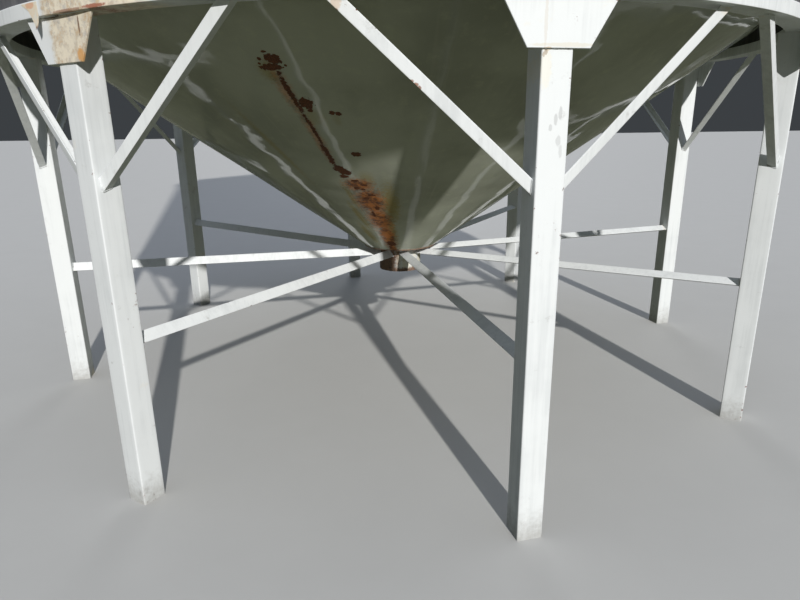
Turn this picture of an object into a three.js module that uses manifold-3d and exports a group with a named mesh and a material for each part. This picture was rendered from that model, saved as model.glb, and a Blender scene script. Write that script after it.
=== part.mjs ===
// Grain silo on an eight-legged hopper stand, in millimetres, with +Z up.
// The origin is on the ground, on the silo's axis. -Y faces the viewer of the photograph.
// Angles run about +Z from -Y toward +X, so angle 0 faces the viewer.

import * as THREE from 'three';
import { mergeVertices } from 'three/addons/utils/BufferGeometryUtils.js';
import Module from 'manifold-3d';

const wasm = await Module();
wasm.setup();

// Common measures
const inch = 25.4;
const fitGap = 0.3;
const degree = Math.PI / 180;
const roundSegments = 96;

// Stand: legs, bays and ring beam
const legCount = 8;
const bayAngle = 360 / legCount * degree;
const firstLegAngle = 13.03 * degree;
const legWidth = 4 * inch;
const legFaceRadius = 2106;
const ringOuterRadius = 7 * 12 * inch;
const ringDepth = 4 * inch;
const ringHeight = 2 * inch;
const ringUnderside = 1867.6;
const ringTop = ringUnderside + ringHeight;

// Head plates on the outer faces of the legs
const headPlateThickness = 8;
const headPlateHeight = 149;
const headPlateTopWidth = 15 * inch;
const headPlateFootWidth = 8 * inch;

// Braces: angle bars with one flange facing out and the other running inward along the lower edge
const braceWidth = 1.5 * inch;
const braceThickness = 3 / 16 * inch;
const braceFaceSetback = 24;
const braceFootHeight = 1315;
const braceHeadAngle = 18.3 * degree;
const braceHeadRadius = 2081;
const braceLean = 9 * degree;
const braceOverrun = 1.5 * braceWidth;

// Struts: angle bars laid with the corner up, like the ridge of a roof. The heights at the legs are
// those of leg_1 to leg_8, which differ a little.
const strutWidth = 2 * inch;
const strutThickness = 3 / 16 * inch;
const strutTurn = 30 * degree;
const strutRidgeOffset = 7;
const strutHubHeight = 715;
const strutLegHeights = [713, 742, 753, 749, 749, 749, 731, 724];

// Hopper cone, skirt and outlet spout
const coneApexHeight = 571;
const coneSlope = 35.24 * degree;
const coneThickness = 6;
const coneMouthRadius = 235;
const skirtOuterRadius = 2118;
const skirtThickness = 6;
const skirtTop = 2120;
const spoutRadius = 10.75 / 2 * inch;
const spoutWall = 6;
const spoutFoot = 571;
const spoutFlangeThickness = 6;
const spoutSegments = 48;

// Bin wall: rings of corrugated sheet, held here as a wall as thick as the waves are deep
const wallOuterRadius = 2124;
const wallThickness = 14;
const sheetRingHeight = 32 * inch;
const sheetRingCount = 5;
const wallSectionCount = 5;
const wallSeamAngle = 35 * degree;

// Roof
const roofSlope = 30 * degree;
const roofThickness = 14;
const eaveRadius = 2180;
const roofHoleRadius = 250;
const roofRibCount = 20;
const roofRibHeight = 28;
const roofRibFootWidth = 46;
const roofRibCrownWidth = 18;
const roofRibEaveGap = 16;
const roofRibCapGap = 10;
const capRadius = 290;
const capRimHeight = 70;
const capThickness = 5;
const capSlope = 18 * degree;

// Materials
const whitePaint = new THREE.MeshStandardMaterial({ color: 0xe9ecea, roughness: 0.55, metalness: 0.0 });
const olivePaint = new THREE.MeshStandardMaterial({ color: 0x5b5c4a, roughness: 0.35, metalness: 0.2 });
const greyPaint = new THREE.MeshStandardMaterial({ color: 0x6c6c70, roughness: 0.45, metalness: 0.3 });
const galvanisedSheet = new THREE.MeshStandardMaterial({ color: 0xb4b8ba, roughness: 0.38, metalness: 0.9 });

const silo = new THREE.Group();

function addPiece(parent, name, geometry, material) {
  const mesh = new THREE.Mesh(geometry, material);
  mesh.name = name;
  parent.add(mesh);
  return mesh;
}

// Cutting

function toSolid(geometry) {
  const bare = geometry.clone();
  bare.deleteAttribute('normal');
  bare.deleteAttribute('uv');
  const merged = mergeVertices(bare, 1e-3);
  return new wasm.Manifold(new wasm.Mesh({
    numProp: 3,
    vertProperties: new Float32Array(merged.attributes.position.array),
    triVerts: new Uint32Array(merged.index.array),
  }));
}

function toGeometry(solid) {
  const mesh = solid.getMesh();
  const geometry = new THREE.BufferGeometry();
  geometry.setAttribute('position', new THREE.BufferAttribute(mesh.vertProperties, 3));
  geometry.setIndex(new THREE.BufferAttribute(mesh.triVerts, 1));
  geometry.computeVertexNormals();
  return geometry;
}

// Shapes shared by the pieces

// A ring turned about the silo's axis. The profile lists [radius, height] points, going up on
// the outside. With flatAngle given, the middle of a flat faces that angle.
function turnedPiece(profile, segments = roundSegments, flatAngle = null) {
  const points = profile.map(([radius, height]) => new THREE.Vector2(radius, height));
  const onAxis = profile[0][0] === 0;
  if (!onAxis) points.push(points[0].clone());
  const firstVertexAngle = flatAngle === null ? 0 : flatAngle + Math.PI / segments;
  return new THREE.LatheGeometry(points, segments, firstVertexAngle).rotateX(Math.PI / 2);
}

// A flat outline extruded by a width centred on zero. The outline lies in the plane of
// -Y (outward from the silo's axis) and Z, and the width runs along X.
function radialPlate(outline, width) {
  const shape = new THREE.Shape(outline.map(([outward, height]) => new THREE.Vector2(outward, height)));
  const geometry = new THREE.ExtrudeGeometry(shape, { depth: width, bevelEnabled: false });
  geometry.translate(0, 0, -width / 2);
  const frame = new THREE.Matrix4().makeBasis(
    new THREE.Vector3(0, -1, 0), new THREE.Vector3(0, 0, 1), new THREE.Vector3(-1, 0, 0));
  return geometry.applyMatrix4(frame);
}

// The section of an angle bar: two flanges at right angles with their outer corner at the given
// point. Before the turn, they run from it along -X and -Y.
function angleSection(width, thickness, corner, turn) {
  const outline = [
    [0, 0],
    [-width, 0],
    [-width, -thickness],
    [-thickness, -thickness],
    [-thickness, -width],
    [0, -width],
  ];
  const middle = new THREE.Vector2();
  return new THREE.Shape(
    outline.map(([x, y]) => new THREE.Vector2(x, y).rotateAround(middle, turn).add(corner)));
}

// A straight bar from start to end, run on past both. The section's X lies along across.
function straightBar(section, start, end, across, overrun) {
  const heading = end.clone().sub(start).normalize();
  const foot = start.clone().addScaledVector(heading, -overrun);
  const depth = start.distanceTo(end) + 2 * overrun;
  const bar = new THREE.ExtrudeGeometry(section, { depth, bevelEnabled: false });
  const frame = new THREE.Matrix4().makeBasis(across, heading.clone().cross(across), heading);
  return bar.applyMatrix4(frame.setPosition(foot));
}

// Pieces of one bay, in a frame whose -Y points out through the leg

const legTop = ringUnderside - fitGap;
const legCentreRadius = legFaceRadius - legWidth / 2;

function legPost(grow = 0) {
  const width = legWidth + 2 * grow;
  const post = new THREE.BoxGeometry(width, width, legTop);
  return post.translate(0, -legCentreRadius, legTop / 2);
}

function headPlate() {
  const outline = new THREE.Shape([
    new THREE.Vector2(-headPlateFootWidth / 2, legTop - headPlateHeight),
    new THREE.Vector2(headPlateFootWidth / 2, legTop - headPlateHeight),
    new THREE.Vector2(headPlateTopWidth / 2, legTop),
    new THREE.Vector2(-headPlateTopWidth / 2, legTop),
  ]);
  const plate = new THREE.ExtrudeGeometry(outline, { depth: headPlateThickness, bevelEnabled: false });
  return plate.rotateX(Math.PI / 2).translate(0, -legFaceRadius - fitGap, 0);
}

// A brace rises from the side of the leg to the ring beam's underside. side is 1 or -1. The bar runs
// from right to left seen from outside, so that its section's Y points up, and its face leans out.
function brace(side) {
  const foot = new THREE.Vector3(
    side * legWidth / 2, -(legFaceRadius - braceFaceSetback - braceWidth / 2), braceFootHeight);
  const head = new THREE.Vector3(
    side * braceHeadRadius * Math.sin(braceHeadAngle), -braceHeadRadius * Math.cos(braceHeadAngle), legTop);
  const [start, end] = side < 0 ? [foot, head] : [head, foot];
  const outward = new THREE.Vector3(start.y - end.y, end.x - start.x, 0).normalize();
  const faceMiddle = new THREE.Vector2(braceWidth / 2, 0);
  const corner = new THREE.Vector2(0, -braceWidth / 2).rotateAround(new THREE.Vector2(), -braceLean);
  const section = angleSection(
    braceWidth, braceThickness, corner.add(faceMiddle), -Math.PI / 2 - braceLean);
  const bar = straightBar(section, start, end, outward, braceOverrun);
  const ringSpace = new THREE.BoxGeometry(2 * ringOuterRadius, 2 * ringOuterRadius, 2 * ringHeight);
  ringSpace.translate(0, 0, legTop + ringHeight);
  return toGeometry(toSolid(bar).subtract(toSolid(ringSpace)).subtract(toSolid(legPost(fitGap))));
}

// A strut ties the leg's inner face to the outlet spout. legHeight is its ridge's height there.
function strut(legHeight) {
  const start = new THREE.Vector3(0, -spoutRadius, strutHubHeight);
  const end = new THREE.Vector3(0, -(legFaceRadius - legWidth), legHeight);
  const section = angleSection(
    strutWidth, strutThickness, new THREE.Vector2(strutRidgeOffset, 0), strutTurn);
  const bar = straightBar(section, start, end, new THREE.Vector3(1, 0, 0), strutWidth / 2);
  const spoutSpace = turnedPiece([
    [0, strutHubHeight - 2 * strutWidth],
    [spoutRadius + fitGap, strutHubHeight - 2 * strutWidth],
    [spoutRadius + fitGap, strutHubHeight + strutWidth],
    [0, strutHubHeight + strutWidth],
  ], spoutSegments, 0);
  return toGeometry(toSolid(bar).subtract(toSolid(spoutSpace)).subtract(toSolid(legPost(fitGap))));
}

for (let index = 0; index < legCount; index += 1) {
  const bay = new THREE.Group();
  bay.rotation.z = firstLegAngle + index * bayAngle;
  addPiece(bay, `leg_${index + 1}`, legPost(), whitePaint);
  addPiece(bay, `head_plate_${index + 1}`, headPlate(), whitePaint);
  addPiece(bay, `brace_${index + 1}_left`, brace(-1), whitePaint);
  addPiece(bay, `brace_${index + 1}_right`, brace(1), whitePaint);
  addPiece(bay, `strut_${index + 1}`, strut(strutLegHeights[index]), whitePaint);
  silo.add(bay);
}

// Ring beam

const ringInnerRadius = ringOuterRadius - ringDepth;
addPiece(silo, 'ring_beam', turnedPiece([
  [ringOuterRadius, ringUnderside],
  [ringOuterRadius, ringTop],
  [ringInnerRadius, ringTop],
  [ringInnerRadius, ringUnderside],
]), whitePaint);

// Hopper skirt, cone and spout

const skirtInnerRadius = skirtOuterRadius - skirtThickness;
addPiece(silo, 'hopper_skirt', turnedPiece([
  [skirtOuterRadius, ringTop + fitGap],
  [skirtOuterRadius, skirtTop],
  [skirtInnerRadius, skirtTop],
  [skirtInnerRadius, ringTop + fitGap],
]), greyPaint);

const coneHeightAt = (radius) => coneApexHeight + radius * Math.tan(coneSlope);
const coneRimRadius = skirtInnerRadius - fitGap;
const coneMouthHeight = coneHeightAt(coneMouthRadius);
addPiece(silo, 'hopper_cone', turnedPiece([
  [coneMouthRadius, coneMouthHeight],
  [coneRimRadius, coneHeightAt(coneRimRadius)],
  [coneRimRadius, coneHeightAt(coneRimRadius) + coneThickness / Math.cos(coneSlope)],
  [coneMouthRadius - coneThickness / Math.sin(coneSlope), coneMouthHeight],
]), olivePaint);

const flangeTop = coneMouthHeight - fitGap;
const spoutBore = spoutRadius - spoutWall;
addPiece(silo, 'outlet_spout', turnedPiece([
  [spoutRadius, spoutFoot],
  [spoutRadius, flangeTop - spoutFlangeThickness],
  [coneMouthRadius, flangeTop - spoutFlangeThickness],
  [coneMouthRadius, flangeTop],
  [spoutBore, flangeTop],
  [spoutBore, spoutFoot],
], spoutSegments, firstLegAngle), whitePaint);

// Bin wall

const wallFoot = skirtTop + fitGap;
const wallTop = wallFoot + sheetRingCount * sheetRingHeight;
const wallInnerRadius = wallOuterRadius - wallThickness;

function wallSection(startAngle, endAngle) {
  const shape = new THREE.Shape();
  shape.absarc(0, 0, wallOuterRadius, startAngle, endAngle, false);
  shape.absarc(0, 0, wallInnerRadius, endAngle, startAngle, true);
  const curveSegments = Math.ceil(roundSegments / wallSectionCount);
  const geometry = new THREE.ExtrudeGeometry(
    shape, { depth: wallTop - wallFoot, bevelEnabled: false, curveSegments });
  return geometry.translate(0, 0, wallFoot);
}

const sectionAngle = 360 / wallSectionCount * degree;
const seamHalfAngle = fitGap / 2 / wallInnerRadius;
for (let index = 0; index < wallSectionCount; index += 1) {
  const start = wallSeamAngle + index * sectionAngle;
  const section = wallSection(start + seamHalfAngle, start + sectionAngle - seamHalfAngle);
  addPiece(silo, `wall_section_${index + 1}`, section, galvanisedSheet);
}

// Roof and cap

const roofSeatRadius = wallOuterRadius / Math.cos(Math.PI / roundSegments);
const roofUnderside = (radius) => wallTop + fitGap + (roofSeatRadius - radius) * Math.tan(roofSlope);
const roofSurface = (radius) => roofUnderside(radius) + roofThickness;
const roofSheets = toSolid(turnedPiece([
  [eaveRadius, roofUnderside(eaveRadius)],
  [eaveRadius, roofSurface(eaveRadius)],
  [roofHoleRadius, roofSurface(roofHoleRadius)],
  [roofHoleRadius, roofUnderside(roofHoleRadius)],
]));

// A rib stands on the joint between two roof panels. Its section tapers to the crown, and its
// foot is sunk to half the roof's thickness.
function roofRib() {
  const sunk = roofThickness * Math.cos(roofSlope) / 2;
  const section = new THREE.Shape([
    new THREE.Vector2(-roofRibFootWidth / 2, -sunk),
    new THREE.Vector2(roofRibFootWidth / 2, -sunk),
    new THREE.Vector2(roofRibCrownWidth / 2, roofRibHeight),
    new THREE.Vector2(-roofRibCrownWidth / 2, roofRibHeight),
  ]);
  const outerRadius = eaveRadius - roofRibEaveGap;
  const innerRadius = capRadius + roofRibCapGap;
  const depth = (outerRadius - innerRadius) / Math.cos(roofSlope);
  const bar = new THREE.ExtrudeGeometry(section, { depth, bevelEnabled: false });
  const frame = new THREE.Matrix4().makeBasis(
    new THREE.Vector3(-1, 0, 0),
    new THREE.Vector3(0, -Math.sin(roofSlope), Math.cos(roofSlope)),
    new THREE.Vector3(0, Math.cos(roofSlope), Math.sin(roofSlope)));
  return bar.applyMatrix4(frame).translate(0, -outerRadius, roofSurface(outerRadius));
}

let ribbedRoof = roofSheets;
for (let index = 0; index < roofRibCount; index += 1) {
  const turn = (index + 0.5) * 360 / roofRibCount * degree;
  ribbedRoof = ribbedRoof.add(toSolid(roofRib().rotateZ(turn)));
}
addPiece(silo, 'roof_cone', toGeometry(ribbedRoof), galvanisedSheet);

const capInnerRadius = capRadius - capThickness;
const capFoot = roofSurface(capInnerRadius) + fitGap;
const capEdge = capFoot + capRimHeight;
const capRise = (radius) => (capRadius - radius) * Math.tan(capSlope);
addPiece(silo, 'roof_cap', turnedPiece([
  [0, capEdge - capThickness + capRise(0)],
  [capInnerRadius, capEdge - capThickness + capRise(capInnerRadius)],
  [capInnerRadius, capFoot],
  [capRadius, capFoot],
  [capRadius, capEdge],
  [0, capEdge + capRise(0)],
]), galvanisedSheet);

export default silo;
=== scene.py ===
"""A hopper-bottom grain silo on an eight-legged stand, built in metres round its fixed frame.

+Z is up and the origin is on the ground, on the silo's axis. Angles run about +Z from -Y, which
faces the viewer, toward +X, which is the viewer's right.
"""

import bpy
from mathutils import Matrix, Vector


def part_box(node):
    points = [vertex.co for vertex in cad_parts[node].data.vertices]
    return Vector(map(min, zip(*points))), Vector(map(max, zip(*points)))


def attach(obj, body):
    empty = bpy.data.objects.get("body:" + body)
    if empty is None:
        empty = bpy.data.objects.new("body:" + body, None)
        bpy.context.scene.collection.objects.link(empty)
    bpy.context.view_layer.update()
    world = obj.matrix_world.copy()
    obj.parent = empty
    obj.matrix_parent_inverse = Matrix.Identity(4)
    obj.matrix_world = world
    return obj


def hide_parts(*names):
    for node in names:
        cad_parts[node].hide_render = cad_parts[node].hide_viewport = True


bl_info = {
    "name": "Grain Silo",
    "version": (1, 0, 0),
    "blender": (4, 5, 0),
    "location": "View3D > Sidebar > Silo",
    "description": "Builds a grain silo on its hopper stand, with its finishes and a plain studio",
    "category": "Add Mesh",
}

from math import atan, atan2, ceil, cos, pi, radians, sin, sqrt, tan

import bpy
import numpy as np
from bpy.props import FloatProperty, FloatVectorProperty, IntProperty, PointerProperty
from mathutils import Matrix, Vector

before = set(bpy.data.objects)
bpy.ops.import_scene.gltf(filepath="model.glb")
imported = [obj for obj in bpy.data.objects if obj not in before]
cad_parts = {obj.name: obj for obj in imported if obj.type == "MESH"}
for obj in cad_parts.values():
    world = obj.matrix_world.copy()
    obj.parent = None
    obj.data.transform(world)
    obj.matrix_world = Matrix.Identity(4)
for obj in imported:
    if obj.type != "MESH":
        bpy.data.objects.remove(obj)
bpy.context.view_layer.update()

# Measures that the frame gives
LEG_COUNT = 8
LEG_NUMBERS = range(1, LEG_COUNT + 1)
WALL_SECTION_COUNT = 5
LEG_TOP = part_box("leg_1")[1].z
RING_FOOT, RING_TOP = (corner.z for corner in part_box("ring_beam"))
RING_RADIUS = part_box("ring_beam")[1].x
SKIRT_FOOT, SKIRT_TOP = (corner.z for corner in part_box("hopper_skirt"))
SKIRT_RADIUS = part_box("hopper_skirt")[1].x
CONE_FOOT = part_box("hopper_cone")[0].z
SPOUT_FOOT, FLANGE_TOP = (corner.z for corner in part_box("outlet_spout"))
WALL_FOOT, WALL_TOP = (corner.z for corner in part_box("wall_section_1"))
EAVE_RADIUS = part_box("roof_cone")[1].x
EAVE_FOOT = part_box("roof_cone")[0].z
CAP_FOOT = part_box("roof_cap")[0].z
CAP_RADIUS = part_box("roof_cap")[1].x

# Angles of the legs and of the wall's sections
FIRST_LEG_ANGLE = radians(13.03)
BAY_ANGLE = 2 * pi / LEG_COUNT
FIRST_SEAM_ANGLE = radians(35 + 90)
SECTION_ANGLE = 2 * pi / WALL_SECTION_COUNT

# The leg whose head plate is stained, and the height of each leg's strut, from leg 1 on
STAINED_LEG = 8
STRUT_LEG_HEIGHTS = (0.713, 0.742, 0.753, 0.749, 0.749, 0.749, 0.731, 0.724)

# Steps round the axis, the cone's grid and the steps in one wave of the wall
ROUND_STEPS = 192
CONE_COLUMNS, CONE_ROWS = 321, 72
WAVE_STEPS = 8

# The gap between pieces that touch, how far the marks of a bar's end reach, and straight up
MATE_GAP = 0.0003
END_REACH = 0.05
UPRIGHT = Vector((0, 0, 1))

# The camera's sensor in millimetres
SENSOR_WIDTH = 36.0


def length(label, default, description):
    """A size property in metres."""
    return FloatProperty(name=label, description=description, default=default,
                         unit="LENGTH", precision=4)


def angle(label, default_degrees, description):
    """An angle property."""
    return FloatProperty(name=label, description=description, default=radians(default_degrees),
                         subtype="ANGLE")


def colour(label, default, description):
    """A colour property, linear."""
    return FloatVectorProperty(name=label, description=description, default=default,
                               subtype="COLOR", size=3, min=0, max=1)


class StandSizes(bpy.types.PropertyGroup):
    """Sizes of the legs, plates, braces, struts and ring beam."""
    leg_width: length("Leg width", 0.1016, "Outside width of the square legs")
    leg_corner: length("Leg corner", 0.005, "Outside corner radius of the legs")
    leg_face_radius: length("Leg face radius", 2.106, "From the axis to the legs' outer faces")
    plate_thickness: length("Plate thickness", 0.008, "Thickness of the head plates")
    plate_height: length("Plate height", 0.149, "Height of the head plates")
    plate_top_width: length("Plate top width", 0.381, "Head plates' width under the ring beam")
    plate_foot_width: length("Plate foot width", 0.2032, "Head plates' width at their foot")
    bar_thickness: length("Bar thickness", 0.00476, "Thickness of braces and struts")
    bar_corner: length("Bar corner", 0.0012, "Corner radius of braces and struts")
    brace_width: length("Brace width", 0.0381, "Width of the braces' flanges")
    brace_lean: angle("Brace lean", 9.0, "How far the braces' faces lean out")
    brace_setback: length("Brace setback", 0.024, "From the legs' outer faces to the braces'")
    brace_foot_height: length("Brace foot height", 1.315, "Where a brace's line meets its leg")
    brace_head_angle: angle("Brace head angle", 18.3, "From the leg to the brace's head")
    brace_head_radius: length("Brace head radius", 2.081, "From the axis to the brace's head")
    strut_width: length("Strut width", 0.0508, "Width of the struts' flanges")
    strut_turn: angle("Strut turn", 30.0, "How far the struts' left flanges are off level")
    strut_ridge: length("Strut ridge", 0.007, "How far the struts' ridges are off their bays")
    strut_hub_height: length("Strut hub height", 0.715, "Height of the struts at the spout")
    ring_depth: length("Ring depth", 0.1016, "Radial width of the ring beam")
    ring_corner: length("Ring corner", 0.0018, "Corner radius of the ring beam")
    ring_joint: length("Ring joint", 0.0035, "Gap between the ring beam's lengths")
    ring_joints: IntProperty(name="Ring joints", description="Lengths in the ring beam",
                             default=4, min=1)
    weld_radius: length("Weld radius", 0.0035, "Radius of the weld beads")


class HopperSizes(bpy.types.PropertyGroup):
    """Sizes of the skirt, cone and spout."""
    skirt_thickness: length("Skirt thickness", 0.006, "Thickness of the skirt")
    cone_slope: angle("Cone slope", 35.24, "Slope of the cone from level")
    cone_thickness: length("Cone thickness", 0.003, "Thickness of the cone's sheet")
    mouth_radius: length("Mouth radius", 0.235, "Radius of the cone at its foot")
    cone_sheets: IntProperty(name="Cone sheets", description="Sheets round the cone",
                             default=20, min=3)
    seam_angle: angle("Seam angle", 6.0, "Angle of one seam of the cone")
    seam_rise: length("Seam rise", 0.0008, "How far the seams stand out of the true cone")
    wave_height: length("Wave height", 0.009, "Height of the buckles in the cone's sheets")
    wave_size: length("Wave size", 0.70, "Distance between buckles")
    spout_radius: length("Spout radius", 0.1365, "Outside radius of the spout")
    spout_wall: length("Spout wall", 0.006, "Wall of the spout")
    flange_thickness: length("Flange thickness", 0.006, "Thickness of the spout's flange")


class BinSizes(bpy.types.PropertyGroup):
    """Sizes of the corrugated wall."""
    crest_radius: length("Crest radius", 2.124, "Radius over the waves")
    wave_pitch: length("Wave pitch", 0.1016, "Height of one wave")
    wave_depth: length("Wave depth", 0.011, "Depth of the waves")
    sheet_height: length("Sheet height", 0.8128, "Height that one sheet covers")
    sheet_thickness: length("Sheet thickness", 0.0012, "Thickness of the sheets")
    sheet_lap: length("Sheet lap", 0.038, "How far the sheets lap")
    bolts_across: IntProperty(name="Bolts across", description="Bolts along a sheet's lap",
                              default=14, min=1)
    bolt_radius: length("Bolt radius", 0.0095, "Radius over the corners of a bolt's head")
    bolt_height: length("Bolt height", 0.0065, "Height of a bolt's head")


class RoofSizes(bpy.types.PropertyGroup):
    """Sizes of the roof and its cap."""
    roof_slope: angle("Roof slope", 30.0, "Slope of the roof from level")
    sheet_thickness: length("Roof sheet", 0.003, "Thickness of the roof's sheet")
    panels: IntProperty(name="Roof panels", description="Panels round the roof",
                        default=20, min=3)
    thickness: length("Roof depth", 0.014, "From the roof's underside to its surface")
    rib_width: length("Rib width", 0.046, "Width of a rib at its foot")
    rib_crown: length("Rib crown", 0.018, "Width of a rib at its crown")
    rib_height: length("Rib height", 0.028, "Height of a rib over the sheet")
    rib_eave_gap: length("Rib eave gap", 0.016, "From the eave to a rib's foot")
    rib_cap_gap: length("Rib cap gap", 0.010, "From the cap to a rib's head")
    hole_radius: length("Hole radius", 0.25, "Radius of the hole under the cap")
    cap_slope: angle("Cap slope", 18.0, "Slope of the cap from level")
    cap_rim: length("Cap rim", 0.070, "Height of the cap's rim")
    cap_thickness: length("Cap thickness", 0.005, "Thickness of the cap")


class Finishes(bpy.types.PropertyGroup):
    """Colours of the paints, sheet and rust."""
    white: colour("White paint", (0.78, 0.81, 0.83), "Paint of the stand")
    chalk: colour("Chalked paint", (0.60, 0.63, 0.65), "Paint where it has weathered")
    cream: colour("Cream stain", (0.80, 0.71, 0.55), "Paint stained by rust water")
    # The olive tint of the cone's paint is partly painted light: green light thrown up from the
    # ground
    olive: colour("Olive paint", (0.515, 0.540, 0.452), "Paint of the hopper cone")
    grey: colour("Grey paint", (0.105, 0.107, 0.118), "Paint of the skirt")
    zinc: colour("Zinc", (0.56, 0.58, 0.60), "Galvanised sheet")
    dull_zinc: colour("Dull zinc", (0.36, 0.38, 0.40), "Galvanised sheet that has dulled")
    rust: colour("Rust", (0.19, 0.060, 0.024), "Fresh rust")
    old_rust: colour("Old rust", (0.040, 0.010, 0.006), "Deep rust")
    grime: colour("Grime", (0.16, 0.14, 0.11), "Dust and soil")


class StageSettings(bpy.types.PropertyGroup):
    """The camera, the light and the floor."""
    eye: FloatVectorProperty(name="Camera place", description="Where the photograph was taken",
                             default=(0.00075, -3.964, 1.520), subtype="TRANSLATION", size=3)
    yaw: angle("Camera yaw", -0.067, "Heading of the camera")
    pitch: angle("Camera pitch", 16.636, "How far the camera looks down")
    roll: angle("Camera roll", -0.746, "Roll of the camera")
    lens: FloatProperty(name="Lens", description="Focal length for a 36 mm sensor",
                        default=27.045, unit="CAMERA")
    key_angle: angle("Key angle", 16.5, "Where the key light comes from")
    key_elevation: angle("Key elevation", 25.9, "Height of the key light")
    key_strength: FloatProperty(name="Key strength", description="Strength of the key light",
                                default=3.7)
    key_softness: angle("Key softness", 1.2, "Width of the key light in the sky")
    back_angle: angle("Back angle", 179.0, "Where the light from behind comes from")
    back_elevation: angle("Back elevation", 9.0, "Height of the light from behind")
    back_strength: FloatProperty(name="Back strength", default=1.1,
                                 description="Strength of the light from behind")
    back_softness: angle("Back softness", 22.0, "Width of the light from behind in the sky")
    reach: length("Reach", 60.0, "From the axis to the floor's edges")
    floor_colour: colour("Floor", (0.50, 0.50, 0.49), "Colour of the floor")
    overhead: colour("Overhead", (0.40, 0.45, 0.54), "Light from straight above")
    backdrop: colour("Backdrop", (0.045, 0.050, 0.055), "Light from the level")
    underneath: colour("Underneath", (0.105, 0.109, 0.062), "Colour of the light from below")


# Node trees


def pick(sockets, key):
    """A socket by its name, or by its place among those in use."""
    usable = [socket for socket in sockets if socket.enabled]
    if isinstance(key, int):
        return usable[key]
    return next(socket for socket in usable if socket.name == key)


class Field:
    """An output socket. Python's operators on it add Math nodes to its tree."""

    def __init__(self, nodes, socket):
        self.nodes = nodes
        self.socket = socket

    def math(self, operation, *others):
        return self.nodes.math(operation, self, *others)

    def __add__(self, other):
        return self.math("ADD", other)

    __radd__ = __add__

    def __mul__(self, other):
        return self.math("MULTIPLY", other)

    __rmul__ = __mul__

    def __sub__(self, other):
        return self.math("SUBTRACT", other)

    def __rsub__(self, other):
        return self.nodes.math("SUBTRACT", other, self)

    def __truediv__(self, other):
        return self.math("DIVIDE", other)

    def __rtruediv__(self, other):
        return self.nodes.math("DIVIDE", other, self)

    def __pow__(self, other):
        return self.math("POWER", other)

    def __rpow__(self, other):
        return self.nodes.math("POWER", other, self)

    def __neg__(self):
        return self.math("MULTIPLY", -1.0)

    def __abs__(self):
        return self.math("ABSOLUTE")

    def __gt__(self, other):
        return self.math("GREATER_THAN", other)

    def __lt__(self, other):
        return self.math("LESS_THAN", other)

    def most(self, other):
        """The larger of the two."""
        return self.math("MAXIMUM", other)

    def least(self, other):
        """The smaller of the two."""
        return self.math("MINIMUM", other)

    def root(self):
        return self.math("SQRT")

    def fraction(self):
        return self.math("FRACT")

    def sine(self):
        return self.math("SINE")

    def cosine(self):
        return self.math("COSINE")

    def ramp(self, start, end):
        """0 before start and 1 after end, with a smooth step between them."""
        return self.nodes.add("ShaderNodeMapRange", {"interpolation_type": "SMOOTHSTEP"},
                              {"Value": self, "From Min": start, "From Max": end})


class Nodes:
    """Adds nodes to one tree."""

    def __init__(self, tree):
        self.tree = tree

    def add(self, kind, settings=None, sockets=None, output=0):
        """A node of a type, with its settings and the values or links of its sockets."""
        node = self.tree.nodes.new(kind)
        for key, value in (settings or {}).items():
            setattr(node, key, value)
        for key, value in (sockets or {}).items():
            self.feed(pick(node.inputs, key), value)
        return Field(self, pick(node.outputs, output))

    def feed(self, socket, value):
        """Links a field to a socket, or sets the socket's own value."""
        if isinstance(value, Field):
            self.tree.links.new(value.socket, socket)
        elif socket.type == "RGBA" and len(value) == 3:
            socket.default_value = (*value, 1.0)
        else:
            socket.default_value = value

    def math(self, operation, *values):
        return self.add("ShaderNodeMath", {"operation": operation}, dict(enumerate(values)))

    def combine(self, x, y, z):
        return self.add("ShaderNodeCombineXYZ", None, {"X": x, "Y": y, "Z": z})

    def split(self, vector):
        """The three parts of a vector."""
        part = self.add("ShaderNodeSeparateXYZ", None, {"Vector": vector})
        return tuple(Field(self, socket) for socket in part.socket.node.outputs)

    def noise(self, vector, scale, detail, roughness):
        return self.add("ShaderNodeTexNoise", None, {
            "Vector": vector, "Scale": scale, "Detail": detail, "Roughness": roughness})

    def streaks(self, vector, scale, detail, roughness):
        """Noise with its own scale along each axis."""
        place = self.add("ShaderNodeMapping", None, {"Vector": vector, "Scale": scale})
        return self.noise(place, 1.0, detail, roughness)

    def mix(self, first, second, share):
        """From the first colour to the second as the share goes from 0 to 1."""
        return self.add("ShaderNodeMix", {"data_type": "RGBA"},
                        {"Factor": share, "A": first, "B": second})

    def attribute(self, name):
        return self.add("ShaderNodeAttribute", {"attribute_name": name}, None, "Fac")

    def bump(self, height, distance, strength=1.0, below=None):
        sockets = {"Strength": strength, "Distance": distance, "Height": height}
        if below is not None:
            sockets["Normal"] = below
        return self.add("ShaderNodeBump", None, sockets)


class Finish(Nodes):
    """A material and the nodes of its surface."""

    def __init__(self, name):
        self.material = bpy.data.materials.new(name)
        self.material.use_nodes = True
        super().__init__(self.material.node_tree)
        self.shader = self.material.node_tree.nodes["Principled BSDF"]
        self.place = self.add("ShaderNodeTexCoord", None, None, "Object")

    def surface(self, values):
        """Sets or links the surface's sockets and gives the material."""
        for name, value in values.items():
            self.feed(self.shader.inputs[name], value)
        return self.material


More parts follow.
